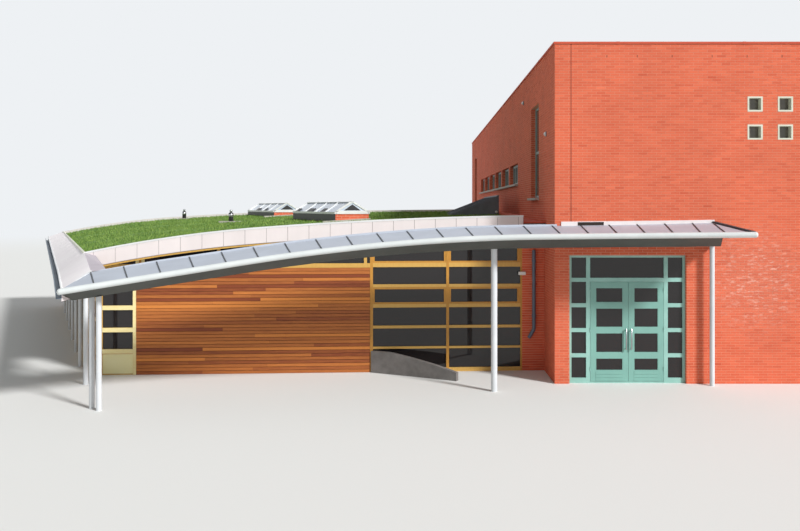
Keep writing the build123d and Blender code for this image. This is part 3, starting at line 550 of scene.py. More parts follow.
def piece(name, shape, material, body="building", replaces=(), tone=None, smooth=False):
    """Makes the mesh of a shape given on the site plan, with its finish and its body. tone
    is one value a point."""
    points, groups = joined(shape)
    mesh = bpy.data.meshes.new(name)
    mesh.vertices.add(len(points))
    mesh.vertices.foreach_set("co", np.ravel(points + SITE))
    corners = np.concatenate([np.ravel(group) for group in groups])
    sizes = np.concatenate([np.full(len(group), group.shape[1]) for group in groups])
    mesh.loops.add(len(corners))
    mesh.loops.foreach_set("vertex_index", corners)
    mesh.polygons.add(len(sizes))
    mesh.polygons.foreach_set("loop_start", np.cumsum(sizes) - sizes)
    mesh.polygons.foreach_set("use_smooth", np.full(len(sizes), smooth))
    if tone is not None:
        layer = mesh.attributes.new("tone", "FLOAT", "POINT")
        layer.data.foreach_set("value", np.asarray(tone, np.float32))
    mesh.update(calc_edges=True)
    mesh.validate()
    mesh.materials.append(bpy.data.materials[material])
    made = bpy.data.objects.new(name, mesh)
    bpy.context.scene.collection.objects.link(made)
    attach(made, body)
    if replaces:
        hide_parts(*replaces)


# The building's own lines

def facade(points):
    """Points given along, into and up the wing's front facade, put on the site plan:
    corner + u (cos t, sin t) + v (-sin t, cos t)."""
    points = np.asarray(points, float)
    u, v, z = points[..., 0], points[..., 1], points[..., 2]
    c, s = math.cos(FACADE_TURN), math.sin(FACADE_TURN)
    return CORNER + np.stack([u * c - v * s, u * s + v * c, z], axis=-1)


def on_facade(shape):
    """A shape whose points are given along, into and up the facade, put on the site plan."""
    return facade(shape[0]), shape[1]


def facade_y(x):
    """Plan y of the facade line: corner y + slope (x - corner x)."""
    return CORNER[1] + FACADE_SLOPE * (x - CORNER[0])


def roof_left(y):
    """Plan x of the grass roof's left edge: left x - tan(sweep) (y - front y)."""
    return ROOF_LEFT[0] - SWEEP * (y - ROOF_FRONT)


def arc_from(start, heading, end):
    """Circle through start and end that leaves start along heading: its radius is
    |chord|^2 / (2 chord . normal), and its centre is start + radius * normal."""
    start, heading, end = (np.asarray(v, float) for v in (start, heading, end))
    heading = heading / np.linalg.norm(heading)
    normal = np.array([-heading[1], heading[0]])
    chord = end - start
    radius = chord @ chord / (2 * chord @ normal)
    centre = start + radius * normal
    spoke = (end - centre) / abs(radius)
    leaving = np.array([-spoke[1], spoke[0]]) * np.sign(radius)
    return centre, abs(radius), leaving


KNEE_CENTRE, KNEE_RADIUS, KNEE_HEADING = arc_from(ROOF_HALL, (-1, -ROOF_SLOPE), ROOF_KNEE)
EDGE_CENTRE, EDGE_RADIUS, _ = arc_from(ROOF_KNEE, KNEE_HEADING, ROOF_LEFT)


def roof_height(x, y):
    """Height of the roof line: two arcs across the front, z = centre z +- sqrt(r^2 - dx^2),
    swept back along the left side with a slight rise."""
    across = x + SWEEP * (y - ROOF_FRONT)
    rise = ROOF_RISE * (y - ROOF_FRONT)

    def on_arc(centre, radius, end_z):
        reach = np.sqrt(np.maximum(radius ** 2 - (across - centre[0]) ** 2, 0))
        return centre[1] + (reach if end_z > centre[1] else -reach)

    right = on_arc(KNEE_CENTRE, KNEE_RADIUS, ROOF_HALL[1])
    left = on_arc(EDGE_CENTRE, EDGE_RADIUS, ROOF_LEFT[1])
    flat = ROOF_HALL[1] + ROOF_SLOPE * across
    return np.where(across >= 0, flat, np.where(across >= ROOF_KNEE[0], right, left)) + rise


def nose_height(x):
    """Height of the canopy's nose: a gentle slope, a round bend of radius R, then a straight
    fall: z = crown + slope dx - b^2 / 2R - (d - b) b / R."""
    back = np.maximum(CREST_X - x, 0)
    bent = np.minimum(back, BEND_RUN)
    fall = bent ** 2 / (2 * BEND_R) + (back - bent) * bent / BEND_R
    return CREST_Z + CREST_SLOPE * (x - CREST_X) - fall


def on_canopy(angle, back, up):
    """A point behind the nose line at an angle round the canopy's centre, up from the nose
    height at that angle: centre + (R + back) (sin a, cos a)."""
    x, y = CANOPY_CENTRE
    reach = NOSE_LINE + np.asarray(back)
    return places(x + reach * np.sin(angle), y + reach * np.cos(angle),
                  nose_height(x + NOSE_LINE * np.sin(angle)) + up)


def outwards(angle):
    """Level heading away from the canopy's centre: (sin a, cos a)."""
    return places(np.sin(angle), np.cos(angle), 0.0)


def strip_width(angle):
    """The canopy is even on the left and widens on the right to stay against the wall."""
    return np.where(angle > 0, -CANOPY_CENTRE[1] / np.cos(angle), -CANOPY_CENTRE[1]) - NOSE_LINE


TIP = on_canopy(CANOPY_ANGLES[0], 0, 0)
HIP_Y = ROOF_FRONT + (ROOF_LEFT[0] - TIP[0]) / SWEEP


def verge_edge(y):
    """The verge's outer edge: x stays a run outside the roof and z falls to the back."""
    front = TIP[2] + (VERGE_BACK - TIP[2]) * (ROOF_FRONT - TIP[1]) / (WING_BACK - TIP[1])
    share = (y - ROOF_FRONT) / (WING_BACK - ROOF_FRONT)
    return places(roof_left(y) - VERGE_RUN, y, front + (VERGE_BACK - front) * share)


def under_deck(u, v, gap):
    """Height of a gap under the roof deck, over a place on the facade."""
    x, y, _ = facade([u, v, 0.0])
    return float(roof_height(x, y)) - DECK_LOW - gap


# Brickwork

# The smallest cut brick that is laid
LEAST_LENGTH, LEAST_HEIGHT = 0.02, 0.015


def bond(low, high, bottom, top, sizes, holes=()):
    """Bricks of a stretcher bond on a wall's face as rows of left, right, low and high:
    brick j of course k starts at j pitch - (half a pitch when k is even). Bricks are cut at
    the wall's ends and round its holes."""
    pitch, course, gap = sizes.brick_pitch, sizes.course, sizes.joint / 2
    k, j = np.meshgrid(np.arange(math.floor(bottom / course), math.ceil(top / course)),
                       np.arange(math.floor(low / pitch) - 1, math.ceil(high / pitch) + 2),
                       indexing="ij")
    left = (j * pitch - np.where(k % 2 == 0, pitch / 2, 0)).ravel()
    base = (k * course).ravel()
    rects = np.stack([np.maximum(left + gap, low), np.minimum(left + pitch - gap, high),
                      np.maximum(base + gap, bottom), np.minimum(base + course - gap, top)], 1)
    for hole_low, hole_high, hole_bottom, hole_top in holes:
        a, b, c, d = rects.T
        meets = (a < hole_high) & (b > hole_low) & (c < hole_top) & (d > hole_bottom)
        stub = 0.4 * course
        below = meets & (hole_bottom - c > stub)
        above = meets & (d - hole_top > stub) & ~below
        beside = meets & ~below & ~above
        rects[:, 3] = np.where(below, hole_bottom, d)
        rects[:, 2] = np.where(above, hole_top, c)
        rects[:, 1] = np.where(beside & (a < hole_low), hole_low, b)
        rects[:, 0] = np.where(beside & (a >= hole_low), np.maximum(a, hole_high), a)
    big = ((rects[:, 1] - rects[:, 0] > LEAST_LENGTH)
           & (rects[:, 3] - rects[:, 2] > LEAST_HEIGHT))
    return rects[big]


BEHIND = {"front": "back", "back": "front", "left": "right", "right": "left"}


def lay(name, rects, face, side, sizes, rng, turn=None):
    """Lays bricks on a wall: side is the way that the wall faces, and face is where it
    stands on that axis."""
    proud, seat = sizes.brick_proud, 0.001
    near, far = (-proud, seat) if side in ("front", "left") else (-seat, proud)
    left, right, low, high = rects.T
    if side in ("front", "back"):
        ends = places(left, face + near, low), places(right, face + far, high)
    else:
        ends = places(face + near, left, low), places(face + far, right, high)
    points, faces = blocks(*ends, (BEHIND[side],))
    if turn is not None:
        points = turn(points)
    tone = np.repeat(np.clip(rng.normal(0.5, 0.13, len(rects)), 0, 1), 8)
    piece(name, (points, faces), "wire_cut_facing_brick", tone=tone)


def side_holes():
    """Windows of a long wall, as low and high y and z."""
    tall = [(a, b, TALL_SILL, TALL_HEAD) for a, b in TALL_WINDOWS]
    return tall + [(a, b, STRIP_SILL, STRIP_HEAD) for a, b in STRIPS]


class CENTRE_OT_brickwork(bpy.types.Operator):
    """Lays the facing bricks of the hall, the wing's back wall and the return"""

    bl_idname = "centre.brickwork"
    bl_label = "Brickwork"

    def execute(self, context):
        sizes = context.scene.centre_sizes
        rng = np.random.default_rng(7)
        squares = [(x, x + SQUARE_SIZE, z, z + SQUARE_SIZE) for x, z in SQUARES]
        doorway = [(*SCREEN_X, 0, SCREEN_HEAD)]
        low_roof = [(facade_y(0) + 0.02, WING_BACK, 0, ROOF_HALL[1] - 0.19)]
        for side, extent, face, holes in (
                ("front", HALL_WIDTH, 0, doorway + squares),
                ("back", HALL_WIDTH, HALL_DEPTH, squares),
                ("left", HALL_DEPTH, 0, low_roof + side_holes()),
                ("right", HALL_DEPTH, HALL_WIDTH, side_holes())):
            lay(f"hall_{side}_bricks", bond(0, extent, 0, WALL_TOP, sizes, holes), face, side,
                sizes, rng)
        back_left = CORNER[0] - SWEEP * (WING_BACK - CORNER[1])
        rects = bond(back_left + 0.12, 0, 0, 3.6, sizes)
        under = roof_height(rects[:, :2].mean(1), WING_BACK) - DECK_LOW - 0.02
        rects[:, 3] = np.minimum(rects[:, 3], under)
        rects = rects[rects[:, 3] - rects[:, 2] > LEAST_HEIGHT]
        lay("wing_back_bricks", rects, WING_BACK, "back", sizes, rng)
        lay("return_bricks", bond(GLAZING_END, FACADE_END, 0, 3.56, sizes), 0, "front", sizes,
            rng, turn=facade)
        return {"FINISHED"}


class CENTRE_OT_wall_details(bpy.types.Operator):
    """Adds the movement joint, weep slots, coping straps, flashings and wall lamps"""

    bl_idname = "centre.wall_details"
    bl_label = "Wall details"

    joint = (0.377, 0.399, 3.6, WALL_TOP)
    weeps = (1.24, 1.96, 2.79, 3.74, 4.57, 5.40, 6.25, 7.1, 7.95, 8.8, 9.65)
    weep_half, weep_low, weep_high = 0.006, 7.755, 7.81
    strap_half, strap_lap, strap_pitch = 0.04, 0.028, 3.0

    def execute(self, context):
        face = -context.scene.centre_sizes.brick_proud - 0.0015
        piece("movement_joint", panels([self.joint], face, 0.001), "brown_mastic")
        slots = [(x - self.weep_half, x + self.weep_half, self.weep_low, self.weep_high)
                 for x in self.weeps]
        piece("weep_slots", panels(slots, face, face + 0.006), "black_breather_sheet_and_painted_shadow")
        half, lap = self.strap_half, self.strap_lap
        straps = [(x - half, x + half, y - lap, y + WALL_T + lap)
                  for y in (0, HALL_DEPTH - WALL_T)
                  for x in np.arange(1.5, HALL_WIDTH, self.strap_pitch)]
        straps += [(x - lap, x + WALL_T + lap, y - half, y + half)
                   for x in (0, HALL_WIDTH - WALL_T)
                   for y in np.arange(2.5, HALL_DEPTH, self.strap_pitch)]
        left, right, near, far = np.array(straps).T
        piece("coping_straps", blocks(places(left, near, WALL_TOP - 0.004),
                                      places(right, far, HALL_TOP + 0.003)),
              "brick_red_coated_sheet")
        self.flashings()
        self.lamps()
        return {"FINISHED"}

    def flashings(self):
        """A strip dressed down over the canopy where it meets the hall, lower to the right, and a
        dark strip on it that is painted shadow of the gap under the flashing: foot + height(angle)
        * up."""
        ends, heights = (1.1, 8.3), (0.105, 0.075)

        def strip(name, start, end, low, high, half, material):
            angles = np.radians(np.linspace(start, end, 30))
            back = strip_width(angles)
            rise = ZINC_FALL * (back - NOSE_R) + ZINC_T - 0.005
            height = np.interp(np.degrees(angles), ends, heights)[:, None]
            profile = [(-half, low), (half, low), (half, high), (-half, high)]
            piece(name, carried(profile, on_canopy(angles, back - 0.012, rise), [0, -1, 0],
                                UP * height), material)

        strip("canopy_flashing", *ends, 0.0, 1.0, 0.012, "pale_coated_sheet")
        # A dark strip of painted shadow on the flashing
        strip("flashing_painted_shadow", 1.88, 3.11, 0.06, 0.84, 0.015, "black_breather_sheet_and_painted_shadow")

    def lamps(self):
        """Round bulkhead lamps on the hall's left wall and on the rooflight against it, and
        a flat one over the brick return."""
        wall, half = [(5.83, 7.40), (1.30, 6.05)], 0.06
        backs = blocks([(-0.020, y - half, z - half) for y, z in wall],
                       [(0.0, y + half, z + half) for y, z in wall])
        piece("wall_lamp_backs", backs, "lead_grey_sheet")
        for name, centres, radius, axis in (
                ("wall_lamps", [(-0.02, y, z) for y, z in wall], 0.05, (-1, 0, 0)),
                ("rooflight_lamp", [(-0.75, LEAN_Y[0] - 0.001, 4.04)], 0.045, (0, -1, 0))):
            piece(name, domes(centres, radius, axis), "opal_lamp_glass",
                  smooth=True)
        u = GLAZING_END - 0.01
        piece("entrance_lamp", on_facade(panels([(u - 0.09, u + 0.09, 2.46, 2.54)], -0.07, 0.0)),
              "opal_lamp_glass")


class CENTRE_OT_hall_windows(bpy.types.Operator):
    """Adds the bars of the side windows"""

    bl_idname = "centre.hall_windows"
    bl_label = "Hall windows"

    def execute(self, context):
        half, frame_edge, front, back = 0.03, 0.07, REVEAL - 0.006, REVEAL + 0.064
        bars = [(y, STRIP_SILL, STRIP_HEAD) for a, b in STRIPS
                for y in np.linspace(a, b, 5)[1:-1]]
        bars += [((a + b) / 2, TALL_SILL, TALL_HEAD) for a, b in TALL_WINDOWS]
        y, sill, head = np.array(bars).T
        shapes = [blocks(places(near, y - half, sill + frame_edge),
                         places(far, y + half, head - frame_edge))
                  for near, far in ((front, back), (HALL_WIDTH - back, HALL_WIDTH - front))]
        piece("side_window_bars", joined(*shapes), "grey_green_powder_coat")
        return {"FINISHED"}


class CENTRE_OT_entrance(bpy.types.Operator):
    """Adds the pulls' sleeves, the boards of the kick panels and the glazing beads"""

    bl_idname = "centre.entrance"
    bl_label = "Entrance"

    leaves = {"left": (0.866, 1.771, 1.711), "right": (1.777, 2.614, 1.837)}
    stile, bead = 0.13, 0.012
    pull_low, pull_high, pull_r = 0.796, 1.304, 0.0165
    lights = ((0.301, 0.5925), (0.7275, 1.1945), (1.3295, 1.7875), (1.9225, 2.274))

    def execute(self, context):
        for side, (x0, x1, pull_x) in self.leaves.items():
            body = f"{side}_leaf"
            self.pull(side, body, pull_x)
            self.kick_boards(side, body, x0 + self.stile, x1 - self.stile)
            self.beads(side, body, x0 + self.stile, x1 - self.stile)
        return {"FINISHED"}

    def pull(self, side, body, x):
        """A steel tube over the pull bar, closed by shallow caps 4 mm high."""
        low, high, r, cap = self.pull_low, self.pull_high, self.pull_r, 0.004
        rows = [(low, 0.7 * r), (low + cap, r), (high - cap, r), (high, 0.7 * r)]
        piece(f"pull_tube_{side}", turned(x, 0.03, rows), "brushed_stainless_steel",
              body, smooth=True)

    def kick_boards(self, side, body, x0, x1):
        """Level boards with 6 mm gaps on the foot rail."""
        edges = np.linspace(0.05, 0.285, 4)
        rows = [(x0, x1, low + 0.003, high - 0.003) for low, high in zip(edges, edges[1:])]
        piece(f"kick_boards_{side}", panels(rows, SCREEN_Y - 0.006, SCREEN_Y + 0.001),
              "sea_green_gloss_paint", body)

    def beads(self, side, body, x0, x1):
        """Slim beads round each light, at the front of the glass."""
        t, rows = self.bead, []
        for z0, z1 in self.lights:
            rows += [(x0, x0 + t, z0, z1), (x1 - t, x1, z0, z1),
                     (x0 + t, x1 - t, z0, z0 + t), (x0 + t, x1 - t, z1 - t, z1)]
        piece(f"glazing_beads_{side}", panels(rows, SCREEN_Y + 0.002, SCREEN_Y + 0.018),
              "sea_green_gloss_paint", body)


class CENTRE_OT_wing_front(bpy.types.Operator):
    """Boards the cedar wall and adds the bay's panel, the glazed wall's bars and the collars
    of the downpipe"""

    bl_idname = "centre.wing_front"
    bl_label = "Wing front"

    def execute(self, context):
        self.boards(context.scene.centre_sizes)
        self.bay()
        self.glazed_wall()
        self.clerestory_block()
        self.collars()
        return {"FINISHED"}

    def boards(self, sizes):
        """Rows of two cedar boards each, with their joint at a random place and their feet
        7 mm further back than their tops."""
        rng = np.random.default_rng(11)
        count = round(CAP_LOW / sizes.board_pitch)
        pitch = CAP_LOW / count
        rows = []
        for i in range(count):
            joint = BAY_END + rng.uniform(1.2, 4.6)
            rows += [(a + 0.001, b - 0.001, i * pitch + 0.004, (i + 1) * pitch - 0.004)
                     for a, b in ((BAY_END + 0.003, joint), (joint, CLADDING_END - 0.003))]
        points, faces = panels(rows, -sizes.board_proud, -0.002)
        points.reshape(-1, 8, 3)[:, [0, 1], 1] += 0.007
        tone = np.clip(rng.normal(0.42, 0.16, len(rows)), 0, 1)
        golden = rng.uniform(size=len(rows)) < 0.07
        piece("cedar_boards", (facade(points), faces), "sawn_oiled_cedar",
              tone=np.repeat(np.where(golden, 1.0, tone), 8))

    def bars(self, name, rows, near, far, material, slot="yellow_timber", replaces=()):
        """Upright and level bars on the facade, from rows of left, right, low and high."""
        piece(name, on_facade(panels(rows, near, far)), material, replaces=replaces)

    def bay(self):
        """The cream panel of the bay, a thin dark line under its first rail that is painted
        shadow, and faces of its rails and posts painted pale cream as painted sunlight.
        """
        left, right = 0.026, 0.774
        self.bars("bay_panel", [(left, right, 0.03, 0.534)], 0.022, 0.031, "cream_yellow_panel")
        # A thin dark line under the first rail: painted shadow of the rail
        self.bars("bay_rail_painted_shadow", [(left, right, 0.524, 0.5345)], 0.002, 0.030,
                  "golden_softwood_and_painted_shade")
        faces = [(left, right, *edge) for edge in ((0.535, 0.645), (1.07, 1.18), (1.625, 1.735))]
        faces.append((0.7755, BAY_END - 0.001, 0.004, CAP_LOW - 0.002))
        # Faces of the bay's rails and posts in pale cream: painted sunlight
        self.bars("bay_rail_painted_sunlit_faces", faces, -0.006, 0.001, "painted_sunlit_softwood")

    def glazed_wall(self):
        """The glazed wall's slim posts and rails, opening lights in its third and top rows,
        whose frames stand 10 mm back, and the margins of the panes beside the slim posts."""
        posts = [(CLADDING_END, 6.775), (8.646, 8.716), (10.557, GLAZING_END)]
        rails = [(0.0, 0.10), (0.59, 0.645), (1.11, 1.18), (1.64, 1.73), (2.155, 2.23),
                 (2.67, 2.78)]
        stiles = [((6.775, 6.817), (8.588, 8.646)), ((8.716, 8.766), (10.478, 10.557))]
        inset, gap = 0.02, 0.004
        uprights = [(a, b, 0.0, under_deck(a, inset, gap)) for a, b in posts]
        # Posts and opening lights take the darker golden softwood, which is partly painted shade
        self.bars("glazed_wall_posts", uprights, 0.0, FRAME_T, "golden_softwood_and_painted_shade",
                  replaces=("glazed_wall_frame",))
        across = [(a[1], b[0], *rail) for a, b in zip(posts, posts[1:]) for rail in rails]
        self.bars("glazed_wall_rails", across, 0.001, FRAME_T, "yellow_stained_softwood")
        sashes = []
        for (a0, a1), (b0, b1) in stiles:
            for low, high in ((1.73, 2.155), (2.78, under_deck(a0, inset, gap))):
                sashes += [(a0, a1, low, high), (b0, b1, low, high), (a1, b0, low, low + 0.042)]
            sashes.append((a1, b0, 2.105, 2.155))
        self.bars("glazed_wall_sashes", sashes, 0.010, 0.062, "golden_softwood_and_painted_shade")
        margins = [(*side, *row) for side in ((8.588, 8.646), (8.716, 8.747), (10.478, 10.557))
                   for row in ((0.10, 0.59), (0.645, 1.11), (1.18, 1.64), (2.23, 2.67))]
        self.bars("glazed_wall_margins", margins, PANE_V, PANE_V + 0.01, "grey_float_glass",
                  "clear_glass")

    def clerestory_block(self):
        """A short paired stud over the bay's right post, from the cap beam up to the deck, the
        studs in the bay's pale cream of painted sunlight.
        """
        left, right, wide = 0.845, 1.06, 0.075
        low, high = CAP_LOW + 0.112, under_deck(right, 0.0, 0.006)
        studs = [(left, left + wide, low, high), (right - wide, right, low, high)]
        self.bars("clerestory_studs", studs, -0.002, 0.118, "painted_sunlit_softwood")
        self.bars("clerestory_packer", [(left + wide + 0.001, right - wide - 0.001, low, high)],
                  0.012, 0.118, "golden_softwood_and_painted_shade")

    def collars(self):
        """Sockets round the pipe at its joints: rings of 53 mm radius, 80 mm high."""
        x, radius, tall = -0.28, 0.053, 0.08
        y = facade_y(x) - 0.065
        rings = [turned(x, y, [(z, radius), (z + tall, radius)], 24) for z in (1.38, 2.78)]
        piece("pipe_collars", joined(*rings), "grey_rainwater_plastic")


class CENTRE_OT_garden_wall(bpy.types.Operator):
    """Casts the low curved wall before the glazed wall"""

    bl_idname = "centre.garden_wall"
    bl_label = "Garden wall"

    def execute(self, context):
        """A wall 120 mm thick along the circle through three points. Its top is level, and
        then falls by 0.125 d + 0.03 d^2 with the distance d past the level part."""
        a, b, c = np.array([[-4.42, facade_y(-4.42)], [-3.30, 0.85], [-2.30, 0.33]])
        level, tall, half, bevel = 0.5, 0.545, 0.06, 0.008
        middle = np.linalg.solve(2 * np.array([b - a, c - a]),
                                 [b @ b - a @ a, c @ c - a @ a])
        radius = np.linalg.norm(a - middle)
        start, end = (math.atan2(*(p - middle)[::-1]) for p in (a, c))
        turn = np.linspace(start, end, 40)
        out = places(np.cos(turn), np.sin(turn), 0.0)
        spine = np.append(middle, 0.0) + radius * out
        past = np.maximum(radius * abs(turn - start) - level, 0)
        height = tall - 0.125 * past - 0.03 * past ** 2
        profile = [(-half, 0), (half, 0), (half, 0.985), (half - bevel, 1), (bevel - half, 1),
                   (-half, 0.985)]
        piece("garden_wall_cast", carried(profile, spine, out, UP * height[:, None]),
              "cast_concrete", replaces=("garden_wall",))
        return {"FINISHED"}


class CENTRE_OT_roof_edges(bpy.types.Operator):
    """Adds the band's panels and top trim, the verge's welts, roll, gutter, soffit and inner
    trim, and the folded corner beside the canopy"""

    bl_idname = "centre.roof_edges"
    bl_label = "Roof edges"

    def execute(self, context):
        sizes = context.scene.centre_sizes
        self.band(sizes)
        self.verge(sizes)
        self.hip()
        return {"FINISHED"}

    def trim(self, name, profile, spine, material, side=(1, 0, 0), smooth=False):
        """A metal profile of (side, up) pairs carried along a spine of the roof's edge."""
        piece(name, carried(profile, spine, side, UP), material, smooth=smooth)

    def band(self, sizes):
        """Panels 5 mm before the band, with 12 mm gaps, whose tops and feet follow the roof
        line; a folded trim runs over the top. Joints stand at whole pitches from x = -4.39,
        and both ends get a cut panel."""
        steps = np.arange(-30, 30) * sizes.panel_pitch - 4.39
        steps = steps[(steps > ROOF_LEFT[0] + 0.05) & (steps < GUTTER_X - 0.05)]
        edges = np.concatenate([[ROOF_LEFT[0]], steps, [GUTTER_X]])
        a, b = edges[:-1] + 0.006, edges[1:] - 0.006
        corners = np.zeros((len(a), 8, 3))
        for i, (px, py, pz) in enumerate(BLOCK_CORNERS):
            x = b if px else a
            front = facade_y(x) - OVERHANG
            corners[:, i] = places(x, front + (0.001 if py else -0.005), roof_height(x, front)
                                   - (0.035 if pz else BAND_H - 0.012))
        piece("band_panels", hexes(corners), "pale_coated_sheet")
        x = np.linspace(ROOF_LEFT[0], GUTTER_X, 60)
        front = facade_y(x) - OVERHANG
        profile = [(-0.014, -0.034), (0, -0.034), (0, 0.0), (BAND_T, 0.0), (BAND_T, -0.03),
                   (BAND_T + 0.01, -0.03), (BAND_T + 0.01, 0.01), (-0.014, 0.01)]
        self.trim("band_trim", profile, places(x, front, roof_height(x, front)),
                  "white_enamelled_steel", (0, 1, 0))

    def verge(self, sizes):
        """Welts from the roof's edge down to the outer edge, a roll along the outer edge from
        the canopy's tip to the back, a gutter hung outside it, the soffit board beneath and a
        trim along the roof's edge."""
        def inner_edge(y):
            return places(roof_left(y), y, roof_height(roof_left(y), y))

        y = np.arange(ROOF_FRONT + 0.4, WING_BACK - 0.1, sizes.welt_pitch)
        along = np.array([-SWEEP, 1.0, 0.0]) / math.hypot(SWEEP, 1.0)
        welts = beams(inner_edge(y) + [0, 0, -0.004], verge_edge(y) + [0.01, 0, -0.004],
                      along * 0.010, UP * 0.010)
        piece("verge_welts", welts, "white_coated_verge_sheet")
        y = np.linspace(ROOF_FRONT, WING_BACK, 24)
        spine = np.concatenate([[TIP + [0, 0.075, 0]], verge_edge(y)])
        self.trim("verge_roll", circle(14, 0.030), spine + [0.012, 0, -0.008],
                  "white_enamelled_steel", smooth=True)
        profile = [(-0.115, -0.15), (0.002, -0.15), (0.002, -0.04), (-0.008, -0.04),
                   (-0.008, -0.135), (-0.105, -0.135), (-0.105, -0.035), (-0.115, -0.035)]
        self.trim("verge_gutter", profile, spine, "blue_grey_gutter_paint")
        back = verge_edge(np.array([ROOF_FRONT, WING_BACK]))
        outer = np.concatenate([[TIP + [0, 0.073, 0]], back]) - [0, 0, VERGE_FASCIA + 0.001]
        inner = outer.copy()
        inner[0, 1], inner[1:, 0] = HIP_Y, back[:, 0] + VERGE_RUN
        top = np.stack([outer, inner], 1)
        piece("verge_soffit", slab(top, top - [0, 0, 0.008]), "dark_soffit_board")
        profile = [(-0.03, -0.01), (0.03, -0.10), (0.05, -0.10), (0.03, 0.014), (-0.03, 0.014)]
        self.trim("verge_inner_trim", profile, inner_edge(y), "cream_powder_coat")

    def hip(self):
        """A folded white strip up from the canopy's tip, and the sheet that fills the corner
        between the verge, the band and the canopy: its four corners and 6 mm below them."""
        x, y, z = TIP
        hip_z = nose_height(x + 0.5) + ZINC_T + ZINC_FALL * (HIP_Y - y)
        profile = [(-0.02, -0.03), (0.02, -0.03), (0.02, 0.018), (-0.02, 0.018)]
        self.trim("hip_strip", profile, [[x, y + 0.08, z], [x, HIP_Y, hip_z]],
                  "white_enamelled_steel")
        top = np.array([[[x, HIP_Y, hip_z], [-10.03, -1.66, 2.85]],
                        [[ROOF_LEFT[0], ROOF_FRONT, 3.082], [-11.16, ROOF_FRONT + 0.012, 3.01]]])
        # The corner sheet's grey-pink is painted shade
        piece("corner_sheet", slab(top, top - [0, 0, 0.006]), "corner_sheet_painted_shade")


class CENTRE_OT_grass(bpy.types.Operator):
    """Lays the turf and its tufts on the wing's roof"""

    bl_idname = "centre.grass"
    bl_label = "Grass roof"

    def execute(self, context):
        sizes = context.scene.centre_sizes
        rng = np.random.default_rng(23)
        p, q = np.meshgrid(np.linspace(0, 1, 90), np.linspace(0, 1, 70))
        x, y = self.plan(p, q)
        base = roof_height(x, y) - GRASS_DROP
        bumps = self.bumps(x, y, rng)
        edge = np.minimum(np.minimum(p, 1 - p), np.minimum(q, 1 - q))
        top = places(x, y, base - 0.02 + 0.045 * bumps * np.clip(edge * 30, 0, 1))
        bottom = places(x, y, base - GRASS_T + 0.002)
        piece("turf", slab(top, bottom), "rough_cut_turf", replaces=("grass_roof",),
              tone=np.full(2 * x.size, 0.35))
        self.tufts(sizes, rng)
        return {"FINISHED"}

    def plan(self, p, q):
        """Plan point at p from left to right and q from front to back, where both edges slope:
        y = (1-q)(a + b x) + q back and x = (1-p)(c + d y) + p right, solved for both."""
        a, b = facade_y(0.0) - OVERHANG + BAND_T, FACADE_SLOPE
        c, d = roof_left(0.0), -SWEEP
        right, back = KERB_X, WING_BACK - BAND_T
        y = (((1 - q) * (a + b * ((1 - p) * c + p * right)) + q * back)
             / (1 - (1 - q) * b * (1 - p) * d))
        return (1 - p) * (c + d * y) + p * right, y

    def bumps(self, x, y, rng):
        """Sum of waves of 0.5 to 3 m with random headings, scaled to 0 to 1."""
        total = np.zeros_like(x)
        for length in (3.1, 1.9, 1.2, 0.8, 0.5):
            heading, phase = rng.uniform(0, 2 * math.pi, 2)
            total += np.sin(2 * math.pi * (x * math.cos(heading) + y * math.sin(heading)) / length
                            + phase) * length ** 0.5
        return (total - total.min()) / (total.max() - total.min())

    def tufts(self, sizes, rng):
        """Thin three-sided spikes, drawn 20 to 40 mm wide so that they show from the front:
        foot + r (cos, sin) and a tip that leans at random."""
        count = sizes.tuft_count
        p, q = rng.uniform(0.004, 0.996, (2, count))
        x, y = self.plan(p, q)
        foot = places(x, y, roof_height(x, y) - GRASS_DROP - 0.01)
        height = sizes.tuft_height * rng.beta(2, 3, count)
        radius = rng.uniform(0.012, 0.024, count)
        start = rng.uniform(0, 2 * math.pi, count)
        turns = start[:, None] + np.array([0, 2, 4]) * math.pi / 3
        ring = foot[:, None] + radius[:, None, None] * places(np.cos(turns), np.sin(turns), 0.0)
        lean = rng.normal(0, 0.35, (count, 2)) * height[:, None]
        tip = foot + np.concatenate([lean, height[:, None]], 1)
        points = np.concatenate([ring, tip[:, None]], 1)
        faces = (np.array([[0, 1, 3], [1, 2, 3], [2, 0, 3]])[None]
                 + 4 * np.arange(count)[:, None, None])
        tone = np.repeat(rng.uniform(0, 1, count), 4)
        piece("grass_tufts", (points.reshape(-1, 3), faces.reshape(-1, 3)), "rough_cut_turf",
              tone=tone)


